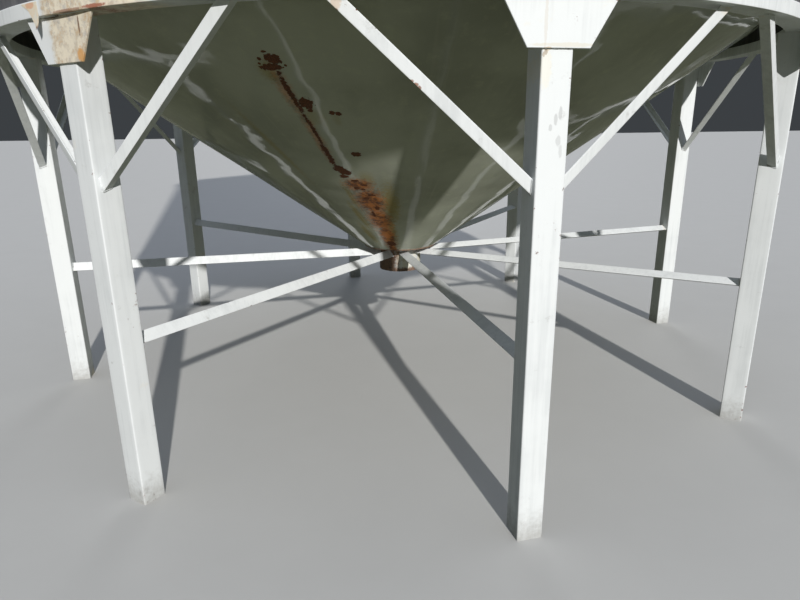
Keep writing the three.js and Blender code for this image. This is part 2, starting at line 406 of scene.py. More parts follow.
class Recipe(Nodes):
    """A tree of Geometry Nodes with named inputs."""

    def __init__(self, name, inputs, takes_mesh=False):
        super().__init__(bpy.data.node_groups.new(name, "GeometryNodeTree"))
        shape = "NodeSocketGeometry"
        if takes_mesh:
            self.tree.interface.new_socket("Geometry", in_out="INPUT", socket_type=shape)
        for label, kind in inputs.items():
            self.tree.interface.new_socket(label, in_out="INPUT", socket_type="NodeSocket" + kind)
        self.tree.interface.new_socket("Geometry", in_out="OUTPUT", socket_type=shape)
        self.given = self.tree.nodes.new("NodeGroupInput")

    def __getitem__(self, label):
        return Field(self, self.given.outputs[label])

    def grid(self):
        """A flat grid of the recipe's columns and rows, and how far along and up its points
        are, from 0 to 1."""
        grid = self.add("GeometryNodeMeshGrid", None, {
            "Size X": 1.0, "Size Y": 1.0, "Vertices X": self["Columns"],
            "Vertices Y": self["Rows"]})
        x, y = self.split(self.add("GeometryNodeInputPosition"))[:2]
        return grid, x + 0.5, y + 0.5

    def round_axis(self, turn, radius, height):
        """The point in an angle's direction, at a radius from the axis and a height."""
        return self.combine(radius * turn.sine(), -(radius * turn.cosine()), height)

    def join(self, *parts):
        """One geometry of several."""
        node = self.tree.nodes.new("GeometryNodeJoinGeometry")
        for part in parts:
            self.tree.links.new(part.socket, node.inputs[0])
        return Field(self, node.outputs[0])

    def finish(self, geometry):
        """Ends the tree in Realize Instances and Set Material."""
        real = self.add("GeometryNodeRealizeInstances", None, {"Geometry": geometry})
        painted = self.add("GeometryNodeSetMaterial", None,
                           {"Geometry": real, "Material": self["Material"]})
        end = self.tree.nodes.new("NodeGroupOutput")
        self.tree.links.new(painted.socket, end.inputs[0])
        return self.tree


def grown(name, tree, values, seed=None):
    """The plain mesh that a tree of Geometry Nodes makes, in an object at the origin."""
    piece = bpy.data.objects.new(name, seed or bpy.data.meshes.new(name))
    bpy.context.scene.collection.objects.link(piece)
    modifier = piece.modifiers.new("shape", "NODES")
    modifier.node_group = tree
    for item in tree.interface.items_tree:
        if item.in_out == "INPUT" and item.name in values:
            modifier[item.identifier] = values[item.name]
    graph = bpy.context.evaluated_depsgraph_get()
    mesh = bpy.data.meshes.new_from_object(piece.evaluated_get(graph), depsgraph=graph)
    piece.modifiers.remove(modifier)
    piece.data = mesh
    mesh.name = name
    return piece


# Mesh building


def made(name, points, faces, material, marks=None, crease=radians(35)):
    """An object with a mesh at its place. marks holds one value a vertex for each name."""
    mesh = bpy.data.meshes.new(name)
    mesh.from_pydata([tuple(point) for point in points], [], faces)
    mesh.materials.append(material)
    for label, values in (marks or {}).items():
        attribute = mesh.attributes.new(label, "FLOAT", "POINT")
        attribute.data.foreach_set("value", np.asarray(values, np.float32))
    mesh.shade_smooth()
    mesh.set_sharp_from_angle(angle=crease)
    piece = bpy.data.objects.new(name, mesh)
    bpy.context.scene.collection.objects.link(piece)
    return piece


def keep(piece, material_slot, *nodes):
    """Fixes a finished piece to the silo, in the place of the frame's nodes."""
    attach(piece, "root")
    if nodes:
        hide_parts(*nodes)
    return piece


def leg_turn(number):
    """The angle that a leg faces."""
    return FIRST_LEG_ANGLE + (number - 1) * BAY_ANGLE


def bay_vector(across, outward, height, number):
    """A point given across, outward and up in a leg's bay."""
    turn = leg_turn(number)
    return Vector((across * cos(turn) + outward * sin(turn),
                   across * sin(turn) - outward * cos(turn), height))


def rounded(outline, radius, band=0.0, steps=4):
    """A closed outline with its corners rounded. Gives the points, and 1 at corners and 0 on
    flats for each. A band puts a flat point that far past each end of an arc. A point that
    lies on a straight side is kept."""
    points, edges = [], []
    count = len(outline)
    for index, corner in enumerate(outline):
        corner = Vector(corner)
        into = (corner - Vector(outline[index - 1])).normalized()
        out = (Vector(outline[(index + 1) % count]) - corner).normalized()
        bend = atan2(into.x * out.y - into.y * out.x, into.dot(out))
        if abs(bend) < 1e-4:
            points.append(corner)
            edges.append(0.0)
            continue
        side = 1 if bend > 0 else -1
        reach = radius * tan(abs(bend) / 2)
        start = corner - into * reach
        centre = start + Vector((-into.y, into.x)) * radius * side
        if band:
            points.append(start - into * band)
            edges.append(0.0)
        for step in range(steps + 1):
            turn = Matrix.Rotation(bend * step / steps, 2)
            points.append(centre + turn @ (start - centre))
            edges.append(1.0)
        if band:
            points.append(corner + out * (reach + band))
            edges.append(0.0)
    return points, edges


def lofted(rings, closed=True):
    """Vertices and faces through rings of points. An open loft gets a face at each end."""
    count = len(rings[0])
    points = [point for ring in rings for point in ring]
    faces = []
    last = len(rings) if closed else len(rings) - 1
    for ring in range(last):
        here, there = ring * count, (ring + 1) % len(rings) * count
        for step in range(count):
            follow = (step + 1) % count
            faces.append((here + step, here + follow, there + follow, there + step))
    if not closed:
        faces.append(tuple(reversed(range(count))))
        faces.append(tuple(range((len(rings) - 1) * count, len(rings) * count)))
    return points, faces


def band_outline(outer, inner, foot, top):
    """The section of an upright band, for turning."""
    return [(outer, foot), (outer, top), (inner, top), (inner, foot)]


def turned(profile, steps, start=0.0, sweep=2 * pi):
    """A closed profile of radius and height points, going up on the outside, swept about the
    axis. A full turn closes on itself."""
    whole = abs(sweep - 2 * pi) < 1e-6
    rings = []
    for step in range(steps if whole else steps + 1):
        turn = start + sweep * step / steps
        rings.append([(radius * sin(turn), -radius * cos(turn), height)
                      for radius, height in profile])
    points, faces = lofted(rings, closed=whole)
    return points, [tuple(reversed(face)) for face in faces]


def on_plane(place, normal):
    """A cut that moves a point along its bar's heading to a plane."""
    def cut(point, heading):
        return point + heading * ((place - point).dot(normal) / heading.dot(normal))
    return cut


def on_pipe(radius, out):
    """A cut that moves a point along its bar's heading to an upright pipe round the axis."""
    def cut(point, heading):
        aside = point - out * point.dot(out)
        reach = sqrt(radius ** 2 - aside.x ** 2 - aside.y ** 2)
        return point + heading * ((reach - point.dot(out)) / heading.dot(out))
    return cut


class Bar:
    """A bar: its section with its edge marks, its line, its sideways direction and the cuts at
    its ends."""

    def __init__(self, section, start, end, across, start_cut, end_cut):
        self.outline, self.edges = section
        self.start, self.end = start, end
        self.across = across
        self.start_cut, self.end_cut = start_cut, end_cut
        self.heading = (end - start).normalized()

    def loop(self, middle, cut):
        """The points of the section about a point of the line, moved along it to a cut."""
        up = self.heading.cross(self.across).normalized()
        return [cut(middle + self.across * point.x + up * point.y, self.heading)
                for point in self.outline]

    def ends(self):
        """The loops of points round both ends."""
        return self.loop(self.start, self.start_cut), self.loop(self.end, self.end_cut)

    def piece(self, name, material, pitch):
        """The bar as an object. Marks hold how near a vertex is to an edge and to an end."""
        feet, heads = self.ends()
        run = (self.end - self.start).length
        rings, edge_marks, end_marks = [], [], []
        for station in stations_along(run, pitch):
            share = station / run
            rings.append([foot.lerp(head, share) for foot, head in zip(feet, heads)])
            edge_marks += self.edges
            nearness = max(0.0, 1 - min(station, run - station) / END_REACH)
            end_marks += [nearness] * len(self.edges)
        points, faces = lofted(rings, closed=False)
        return made(name, points, faces, material, {"edge": edge_marks, "seat": end_marks})


def stations_along(run, pitch):
    """Places along a run, closer together near both ends."""
    near = [0.0, 0.004, 0.012, 0.025, END_REACH]
    far = [run - place for place in reversed(near)]
    count = max(2, ceil((run - 2 * near[-1]) / pitch))
    between = [near[-1] + (far[0] - near[-1]) * step / count for step in range(1, count)]
    return near + between + far


def angle_section(width, thickness, radius, corner, turn):
    """The section of an angle bar. Before the turn, its flanges run from the outer corner
    along -x and -y. Two points on each face keep the wear at the edges narrow."""
    near = 0.006
    toe = width - near
    flange = [(-near, 0), (-toe, 0), (-width, 0), (-width, -thickness), (-toe, -thickness),
              (-thickness - near, -thickness)]
    other = [(y, x) for x, y in reversed(flange)]
    outline = [(0, 0), *flange, (-thickness, -thickness), *other]
    spin = Matrix.Rotation(turn, 2)
    return rounded([Vector(corner) + spin @ Vector(point) for point in outline], radius, steps=3)


# Colours of the marks on the white paint
SMUDGE = (0.42, 0.43, 0.44)
CHIP = (0.26, 0.11, 0.06)
DARK_STAIN = (0.20, 0.12, 0.08)

# Marks on painted faces: place across and up in the leg's bay, half its width, half its height,
# its colour and how strongly it shows
FRONT_LEG_MARKS = (
    ((-0.034, LEG_TOP - 0.150), 0.014, 0.007, (0.62, 0.44, 0.22), 0.55),
    ((-0.038, LEG_TOP - 0.158), 0.006, 0.010, DARK_STAIN, 0.75),
    ((-0.045, LEG_TOP - 0.166), 0.004, 0.008, DARK_STAIN, 0.70),
    ((-0.036, LEG_TOP - 0.205), 0.022, 0.062, (0.86, 0.79, 0.60), 0.32),
    ((-0.046, LEG_TOP - 0.070), 0.006, 0.100, (0.60, 0.52, 0.42), 0.30),
    ((0.020, LEG_TOP - 0.140), 0.120, 0.007, (0.66, 0.55, 0.33), 0.30),
    ((-0.010, LEG_TOP - 0.373), 0.007, 0.012, SMUDGE, 0.45),
    ((0.006, LEG_TOP - 0.352), 0.007, 0.020, SMUDGE, 0.50),
    ((0.021, LEG_TOP - 0.332), 0.007, 0.022, SMUDGE, 0.50),
    ((0.018, LEG_TOP - 0.415), 0.009, 0.020, SMUDGE, 0.40),
    ((0.028, LEG_TOP - 0.445), 0.007, 0.026, SMUDGE, 0.35),
    ((-0.404, LEG_TOP - 0.256), 0.008, 0.007, CHIP, 0.85),
    ((-0.415, LEG_TOP - 0.247), 0.009, 0.008, (0.30, 0.12, 0.06), 0.85),
    ((-0.427, LEG_TOP - 0.236), 0.008, 0.007, CHIP, 0.85),
    ((-0.640, LEG_TOP - 0.020), 0.020, 0.024, (0.66, 0.44, 0.25), 0.50),
)
STAINED_PLATE_MARKS = (
    ((0.110, LEG_TOP - 0.040), 0.005, 0.034, (0.16, 0.075, 0.040), 0.85),
    ((0.100, LEG_TOP - 0.128), 0.020, 0.026, (0.68, 0.34, 0.09), 0.80),
    ((0.232, LEG_TOP + 0.040), 0.042, 0.010, (0.30, 0.24, 0.26), 0.75),
    ((0.215, LEG_TOP + 0.006), 0.060, 0.007, (0.36, 0.12, 0.07), 0.90),
    ((0.080, LEG_TOP + 0.004), 0.090, 0.005, (0.30, 0.14, 0.08), 0.75),
    ((-0.040, LEG_TOP - 0.004), 0.060, 0.004, (0.16, 0.10, 0.08), 0.70),
)

# Marks on the cone: angle in degrees, distance from the axis, half its width, half its length
# down the cone, all three in metres, and how strong it is
RUST_SPOTS = (
    (-16.12, 1.657, 0.030, 0.024, 1.00), (-17.00, 1.621, 0.046, 0.016, 1.00),
    (-16.70, 1.689, 0.011, 0.005, 1.00), (-17.94, 1.660, 0.008, 0.007, 1.00),
    (-15.00, 1.626, 0.006, 0.006, 0.90), (-18.30, 1.640, 0.006, 0.006, 0.80),
    (-15.05, 1.442, 0.032, 0.031, 1.00), (-14.98, 1.402, 0.013, 0.008, 1.00),
    (-11.40, 1.389, 0.013, 0.012, 1.00), (-10.30, 1.384, 0.015, 0.012, 1.00),
    (-9.94, 1.137, 0.024, 0.016, 1.00), (-16.30, 1.030, 0.030, 0.030, 1.00),
    (-14.90, 1.008, 0.030, 0.024, 1.00), (-16.10, 0.975, 0.026, 0.014, 0.95),
    (-16.90, 1.180, 0.011, 0.020, 0.95), (-16.80, 1.145, 0.014, 0.012, 0.90),
    (-17.00, 1.100, 0.013, 0.030, 0.95), (-13.60, 0.940, 0.022, 0.009, 0.90),
    (-11.40, 0.905, 0.020, 0.008, 0.85), (-12.20, 0.870, 0.016, 0.008, 0.80),
    (-14.40, 0.880, 0.016, 0.012, 0.80), (-10.20, 0.820, 0.022, 0.010, 0.80),
    (-12.60, 0.790, 0.018, 0.012, 0.75), (-9.80, 0.700, 0.014, 0.020, 0.75),
    (-9.40, 0.310, 0.030, 0.030, 0.90), (-12.80, 0.640, 0.010, 0.030, 0.70),
)
RUST_STREAKS = (
    (-16.55, 1.490, 0.0130, 0.125, 1.00), (-16.66, 1.300, 0.0100, 0.125, 1.00),
    (-16.90, 1.130, 0.0160, 0.100, 0.95),
)
RUST_FILMS = (
    (-13.20, 0.905, 0.085, 0.060, 0.95), (-11.60, 0.760, 0.088, 0.140, 1.00),
    (-11.20, 0.580, 0.072, 0.150, 1.00), (-10.60, 0.400, 0.052, 0.170, 1.00),
    (-17.00, 1.500, 0.034, 0.150, 0.50), (-16.95, 1.240, 0.028, 0.200, 0.50),
    (-10.00, 0.260, 0.030, 0.060, 1.00),
)
OLIVE_FILMS = (
    (-3.60, 0.720, 0.058, 0.220, 0.95), (-6.00, 0.480, 0.040, 0.200, 0.95),
    (-9.60, 0.960, 0.045, 0.060, 0.55), (-18.40, 0.800, 0.020, 0.120, 0.70),
    (-21.50, 0.600, 0.026, 0.170, 0.85), (-26.00, 0.420, 0.030, 0.140, 0.85),
    (-17.80, 1.600, 0.045, 0.060, 0.70), (-15.20, 1.370, 0.055, 0.060, 0.45),
    (-11.00, 1.350, 0.020, 0.040, 0.35), (-29.50, 1.180, 0.022, 0.300, 0.50),
)
# Pale streaks on the glossy cone are painted reflections of bright parts
PAINTED_REFLECTION_STREAKS = (
    (-13.35, 1.340, 0.0090, 0.110, 0.85), (-13.30, 1.130, 0.0060, 0.110, 0.60),
    (-13.40, 1.510, 0.0060, 0.090, 0.35), (-16.90, 0.740, 0.0040, 0.170, 0.85),
    (-18.20, 0.660, 0.0035, 0.190, 0.80), (-21.00, 0.520, 0.0040, 0.180, 0.70),
    (-14.60, 0.620, 0.0030, 0.120, 0.50), (-24.50, 0.470, 0.0040, 0.170, 0.55),
)


# Finishes


def white_coat(look, name):
    """Weathered white paint: chalked patches, streaks, soil near the ground, chips and rust.
    Gives the finish with its colour, roughness and normal."""
    finish = Finish(name)
    place = finish.place
    height = finish.split(place)[2]
    edge = finish.attribute("edge")
    seat = finish.attribute("seat")
    broad = finish.noise(place, 2.6, 4.0, 0.6)
    fine = finish.noise(place, 38.0, 5.0, 0.65)
    streak = finish.streaks(place, (46.0, 46.0, 2.2), 4.0, 0.6)
    chalk = (broad * 0.55 + streak * 0.45).ramp(0.44, 0.66)
    base = finish.mix(look.white, look.chalk, chalk * 0.62)
    soil = (height * -1.0 + 0.16 + (fine - 0.5) * 0.2).ramp(0.0, 0.20)
    base = finish.mix(base, look.grime, soil * 0.5)
    smudge = finish.noise(place, 9.0, 6.0, 0.7).ramp(0.60, 0.74) * fine.ramp(0.40, 0.62)
    base = finish.mix(base, look.grime, smudge * 0.42)
    stain = (finish.noise(place, 6.0, 4.0, 0.6) + seat * 0.16).ramp(0.66, 0.80)
    base = finish.mix(base, look.cream, stain * 0.6)
    rare = finish.noise(place, 3.1, 2.0, 0.5)
    wear = finish.noise(place, 30.0, 6.0, 0.72) + edge * 0.075 + seat * 0.05
    wear = wear + (rare - 0.5) * 0.25
    chip = wear.ramp(0.735, 0.76)
    halo = wear.ramp(0.69, 0.76)
    rust = finish.mix(look.rust, look.old_rust, fine.ramp(0.42, 0.60))
    base = finish.mix(base, look.rust, halo * 0.35)
    base = finish.mix(base, rust, chip)
    rough = 0.56 + chalk * 0.14 + chip * 0.25 + soil * 0.16 + (fine - 0.5) * 0.12
    peel = finish.noise(place, 210.0, 2.0, 0.5)
    dents = finish.noise(place, 5.0, 2.0, 0.5)
    normal = finish.bump(dents, 0.006, 0.35)
    normal = finish.bump(peel, 0.0006, 0.35, normal)
    normal = finish.bump(1 - chip, 0.0006, 0.9, normal)
    return finish, base, rough, normal


def bay_place(finish, number):
    """Across, outward and up of a surface's points in a leg's bay."""
    east, south, height = finish.split(finish.place)
    turn = leg_turn(number)
    across = east * cos(turn) + south * sin(turn)
    outward = east * sin(turn) - south * cos(turn)
    return across, outward, height


def patch_at(across, height, middle, half_width, half_height, ragged):
    """A ragged patch about a place on an upright face, as its share from 0 to 1."""
    aside = (across - middle[0]) / half_width
    above = (height - middle[1]) / half_height
    far = (aside * aside + above * above).root() + (ragged - 0.5) * 1.5
    return 1 - far.ramp(0.65, 1.05)


def marked(finish, base, across, height, marks, ragged, here):
    """The colour with marks over it, where the mask here is 1."""
    for middle, half_width, half_height, tint, share in marks:
        mark = patch_at(across, height, middle, half_width, half_height, ragged) * here
        base = finish.mix(base, tint, mark * share)
    return base


def white_paint(look):
    """The white paint, with stains, smudges and chips on the foremost leg, plate and brace."""
    finish, base, rough, normal = white_coat(look, "white_paint")
    across, outward, height = bay_place(finish, 1)
    ragged = finish.noise(finish.place, 55.0, 5.0, 0.7)
    base = marked(finish, base, across, height, FRONT_LEG_MARKS, ragged, outward > 1.95)
    return finish.surface({"Base Color": base, "Roughness": rough, "Normal": normal})


def stained_paint(look):
    """The white paint of the ring beam and of the plate that rust water has stained cream."""
    finish, base, rough, normal = white_coat(look, "stained_white_paint")
    pale_cream, ochre, ash = (0.60, 0.53, 0.42), (0.60, 0.40, 0.19), (0.42, 0.41, 0.41)
    across, outward, height = bay_place(finish, STAINED_LEG)
    ragged = finish.noise(finish.place, 30.0, 5.0, 0.65)
    fine = finish.noise(finish.place, 95.0, 5.0, 0.7)
    here = (outward > 1.9) * (1 - (across + (ragged - 0.5) * 0.2).ramp(0.34, 0.50))
    side = (across + (ragged - 0.5) * 0.07).ramp(-0.075, -0.035) * here
    cream = finish.mix(look.cream, pale_cream, ragged.ramp(0.42, 0.60))
    base = finish.mix(base, cream, side * 0.85)
    warm = (ragged * 0.6 + fine * 0.4).ramp(0.50, 0.60)
    base = finish.mix(base, ochre, warm * side * 0.50)
    worn = finish.noise(finish.place, 17.0, 5.0, 0.65).ramp(0.54, 0.66) * side
    base = finish.mix(base, ash, worn * 0.6)
    base = marked(finish, base, across, height, STAINED_PLATE_MARKS, fine, here)
    pitted = (fine + (ragged - 0.5) * 0.4).ramp(0.70, 0.75) * side
    base = finish.mix(base, look.rust, pitted)
    normal = finish.bump(ragged * side, 0.002, 0.6, normal)
    normal = finish.bump(fine * side, 0.0008, 0.8, normal)
    return finish.surface({"Base Color": base, "Roughness": rough + side * 0.12 + pitted * 0.2,
                           "Normal": normal})


def flake_paint(look):
    """Cream paint of the loose flap, rusted at its curled end."""
    finish = Finish("flake_paint")
    pale, buff = (0.74, 0.70, 0.60), (0.78, 0.66, 0.50)
    orange, brown = (0.72, 0.40, 0.24), (0.20, 0.10, 0.06)
    ragged = finish.noise(finish.place, 60.0, 5.0, 0.7)
    curl = finish.attribute("edge")
    base = finish.mix(pale, buff, ragged.ramp(0.40, 0.62))
    across, _, height = bay_place(finish, STAINED_LEG)
    patch = patch_at(across, height, (-0.125, LEG_TOP + 0.038), 0.034, 0.012, ragged)
    base = finish.mix(base, orange, patch * 0.8)
    rusted = (curl + (ragged - 0.5) * 0.8).ramp(0.45, 0.75)
    base = finish.mix(base, brown, rusted * 0.85)
    return finish.surface({"Base Color": base, "Roughness": 0.55 + rusted * 0.25,
                           "Normal": finish.bump(ragged, 0.0015, 0.6)})


def weld_paint(look):
    """Paint over the weld beads, with rust showing through."""
    finish = Finish("weld_paint")
    place = finish.place
    fine = finish.noise(place, 120.0, 4.0, 0.6)
    broad = finish.noise(place, 14.0, 4.0, 0.6)
    base = finish.mix(look.white, look.chalk, broad.ramp(0.4, 0.6))
    rusted = (broad * 0.6 + fine * 0.4).ramp(0.54, 0.64)
    rust = finish.mix(look.rust, look.old_rust, fine)
    base = finish.mix(base, rust, rusted * 0.8)
    normal = finish.bump(fine, 0.0008, 0.6)
    return finish.surface({"Base Color": base, "Roughness": 0.5 + rusted * 0.3,
                           "Normal": normal})


def cone_marks(radius, facing, ragged, places, ragging, start=0.80, end=1.05):
    """How strongly any of a table's marks shows on the cone."""
    total = None
    for degree, reach, half_width, half_length, strength in places:
        across = (facing - radians(degree)) * (radius / half_width)
        along = (radius - reach) / half_length
        far = (across * across + along * along).root() + (ragged - 0.5) * ragging
        mark = (1 - far.ramp(start, end)) * strength
        total = mark if total is None else total.most(mark)
    return total


def olive_cone_paint(look):
    """Glossy olive paint of the hopper cone, with rust that starts at spots and runs down, pale
    streaks of painted reflection, and an olive tint that is partly painted green light from below.
    """
    finish = Finish("olive_cone_paint")
    deep_olive, pale_olive, dusty = (0.405, 0.422, 0.352), (0.61, 0.645, 0.495), (0.62, 0.63, 0.52)
    olive_stain, painted_reflection = (0.38, 0.30, 0.095), (0.86, 0.84, 0.70)
    orange_rust, brown_rust = (0.60, 0.205, 0.044), (0.150, 0.048, 0.018)
    deep_rust, red_rust = (0.092, 0.034, 0.015), (0.23, 0.074, 0.028)
    place = finish.place
    east, south = finish.split(place)[:2]
    radius = (east * east + south * south).root()
    facing = finish.math("ARCTAN2", east, -south)
    ragged = finish.noise(place, 62.0, 5.0, 0.68)
    wander = finish.noise(place, 9.0, 3.0, 0.6)
    fine = finish.noise(place, 170.0, 4.0, 0.65)
    cone = (radius, facing + (wander - 0.5) * 0.012, ragged)
    spots = cone_marks(*cone, RUST_SPOTS, 1.7)
    streaks = cone_marks(*cone, RUST_STREAKS, 2.9, 0.45, 1.25)
    films = cone_marks(*cone, RUST_FILMS, 1.9, 0.35, 1.30)
    olive_films = cone_marks(*cone, OLIVE_FILMS, 1.2, 0.20, 1.25)
    pale = cone_marks(*cone, PAINTED_REFLECTION_STREAKS, 1.6, 0.4, 1.2)
    clouds = finish.noise(place, 1.7, 4.0, 0.6)
    dapple = finish.noise(place, 18.0, 5.0, 0.7)
    # Olive tint: partly the paint's own colour, partly painted green light from below
    base = finish.mix(look.olive, deep_olive, clouds.ramp(0.38, 0.64))
    base = finish.mix(base, pale_olive, dapple.ramp(0.50, 0.74) * 0.40)
    drips = finish.noise(finish.combine(facing * 60.0, radius * 1.6, 0.0), 1.0, 3.0, 0.6)
    dust = drips.ramp(0.54, 0.74) * clouds.ramp(0.40, 0.60)
    base = finish.mix(base, dusty, dust * 0.30)
    base = finish.mix(base, olive_stain, olive_films * 0.8)
    # Painted reflections: pale streaks laid over the paint
    base = finish.mix(base, painted_reflection, pale * 0.25)
    clots = finish.noise(place, 21.0, 5.0, 0.7)
    orange = finish.mix(orange_rust, brown_rust, clots.ramp(0.42, 0.62))
    base = finish.mix(base, orange, (films * (0.60 + ragged * 0.9)).least(0.95))
    dark = finish.mix(deep_rust, red_rust, fine.ramp(0.40, 0.66))
    rusted = spots.ramp(0.15, 0.55).most(streaks.ramp(0.10, 0.80))
    base = finish.mix(base, dark, rusted)
    dull = rusted.most(films * 0.75)
    rough = 0.055 + dapple.ramp(0.45, 0.75) * 0.03 + dull * 0.60 + dust * 0.08
    normal = finish.bump(finish.noise(place, 5.5, 1.0, 0.4), 0.012, 0.5)
    normal = finish.bump(fine, 0.0003, 0.05, normal)
    normal = finish.bump(rusted + fine * rusted * 1.5, 0.0022, 0.8, normal)
    return finish.surface({"Base Color": base, "Roughness": rough, "Normal": normal,
                           "IOR": 1.36})


def grey_skirt_paint(look):
    """Smooth grey paint of the skirt, with runs of rust from its top edge."""
    finish = Finish("grey_skirt_paint")
    place = finish.place
    height = finish.split(place)[2]
    streak = finish.streaks(place, (30.0, 30.0, 1.6), 4.0, 0.6)
    fine = finish.noise(place, 60.0, 4.0, 0.6)
    faded = (0.165, 0.165, 0.170)
    base = finish.mix(look.grey, faded, streak.ramp(0.42, 0.66))
    seep = (streak + (height - SKIRT_TOP) * 1.2).ramp(0.42, 0.62)
    base = finish.mix(base, look.rust, seep * 0.28)
    normal = finish.bump(fine, 0.0006, 0.4)
    return finish.surface({"Base Color": base, "Roughness": 0.38 + streak * 0.25,
                           "Normal": normal})


def galvanised_sheet(look, name, rust_share):
    """Galvanised sheet: crystal spangle, dull patches, white bloom and runs below the laps."""
    finish = Finish(name)
    place = finish.place
    spangle = finish.add("ShaderNodeTexVoronoi", None, {"Vector": place, "Scale": 46.0}, "Color")
    crystal = finish.split(spangle)[0]
    broad = finish.noise(place, 1.3, 4.0, 0.6)
    streak = finish.streaks(place, (16.0, 16.0, 0.9), 5.0, 0.6)
    fine = finish.noise(place, 80.0, 4.0, 0.65)
    dull = (broad * 0.5 + streak * 0.5 + (crystal - 0.5) * 0.16).ramp(0.42, 0.62)
    base = finish.mix(look.zinc, look.dull_zinc, dull * 0.7)
    bloom = finish.noise(place, 7.0, 5.0, 0.68).ramp(0.58, 0.74)
    chalky = (0.66, 0.67, 0.66)
    base = finish.mix(base, chalky, bloom * 0.45)
    rusted = (streak * 0.6 + fine * 0.4).ramp(0.66 - rust_share, 0.80 - rust_share)
    base = finish.mix(base, look.rust, rusted * 0.45)
    rough = 0.36 + crystal * 0.10 + dull * 0.14 + bloom * 0.15 + rusted * 0.2
    metal = 0.92 - bloom * 0.45 - rusted * 0.6
    normal = finish.bump(crystal, 0.0002, 0.25)
    normal = finish.bump(broad, 0.006, 0.3, normal)
    return finish.surface({"Base Color": base, "Roughness": rough, "Metallic": metal,
                           "Normal": normal})


def zinc_bolts(look):
    """Zinc-plated bolts, gone dull, with a little rust."""
    finish = Finish("zinc_bolts")
    place = finish.place
    spots = finish.noise(place, 24.0, 4.0, 0.6)
    fine = finish.noise(place, 240.0, 3.0, 0.6)
    rusted = spots.ramp(0.55, 0.68)
    base = finish.mix(look.dull_zinc, look.zinc, fine)
    base = finish.mix(base, look.rust, rusted * 0.7)
    return finish.surface({"Base Color": base, "Roughness": 0.42 + spots * 0.25,
                           "Metallic": 0.85 - rusted * 0.6,
                           "Normal": finish.bump(fine, 0.0003, 0.5)})


def spout_paint(look):
    """Cream-white paint of the spout, rusted at its lip and flange; its left side is darkened
    brown by rust stain and by a painted shadow of the front leg.
    """
    finish = Finish("spout_paint")
    place = finish.place
    east, south, height = finish.split(place)
    ragged = finish.noise(place, 26.0, 5.0, 0.68)
    fine = finish.noise(place, 130.0, 4.0, 0.65)
    streak = finish.streaks(place, (60.0, 60.0, 4.0), 4.0, 0.6)
    cream, tan_stain, light_rust = (0.80, 0.77, 0.66), (0.52, 0.40, 0.25), (0.22, 0.105, 0.050)
    base = finish.mix(look.white, cream, streak.ramp(0.35, 0.6))
    base = finish.mix(base, tan_stain, ragged.ramp(0.50, 0.70) * 0.5)
    lip = 1 - (height - SPOUT_FOOT + (ragged - 0.5) * 0.06).ramp(0.014, 0.034)
    # Left side darkened brown: rust stain and a painted shadow of the front leg
    run = (ragged * 0.6 + streak * 0.3 - east * 5.0).ramp(0.40, 0.62)
    flange = (east * east + south * south).root().ramp(0.150, 0.165)
    rusted = lip.most(run).most(flange)
    rust = finish.mix(light_rust, look.old_rust, fine.ramp(0.4, 0.66))
    base = finish.mix(base, rust, rusted * 0.9)
    normal = finish.bump(ragged, 0.002, 0.4)
    normal = finish.bump(fine, 0.0006, 0.5, normal)
    return finish.surface({"Base Color": base, "Roughness": 0.45 + rusted * 0.35,
                           "Normal": normal})


FINISH_MAKERS = {
    "white_paint": white_paint,
    "stained_paint": stained_paint,
    "flake_paint": flake_paint,
    "weld_paint": weld_paint,
    "olive_cone_paint": olive_cone_paint,
    "grey_skirt_paint": grey_skirt_paint,
    "galvanised_wall": lambda look: galvanised_sheet(look, "galvanised_wall", 0.0),
    "galvanised_roof": lambda look: galvanised_sheet(look, "galvanised_roof", 0.03),
    "zinc_bolts": zinc_bolts,
    "spout_paint": spout_paint,
}
finishes_made = {}


def finish_of(context, name):
    """A material, made when it is first asked for."""
    if name not in finishes_made:
        finishes_made[name] = FINISH_MAKERS[name](context.scene.silo_finishes)
    return finishes_made[name]


# The stand


class SILO_OT_legs(bpy.types.Operator):
    """Add the eight square tube legs"""
    bl_idname = "silo.legs"
    bl_label = "Legs"

    def execute(self, context):
        sizes = context.scene.silo_stand
        half = sizes.leg_width / 2
        square = [(-half, -half), (half, -half), (half, half), (-half, half)]
        section = rounded(square, sizes.leg_corner, band=0.012)
        axis_radius = sizes.leg_face_radius - half
        for number in LEG_NUMBERS:
            foot = bay_vector(0, axis_radius, 0, number)
            head = bay_vector(0, axis_radius, LEG_TOP, number)
            leg = Bar(section, foot, head, bay_vector(1, 0, 0, number),
                      on_plane(foot, UPRIGHT), on_plane(head, UPRIGHT))
            piece = leg.piece(f"leg_tube_{number}", finish_of(context, "white_paint"), 0.06)
            keep(piece, "white_paint", f"leg_{number}")
        return {"FINISHED"}


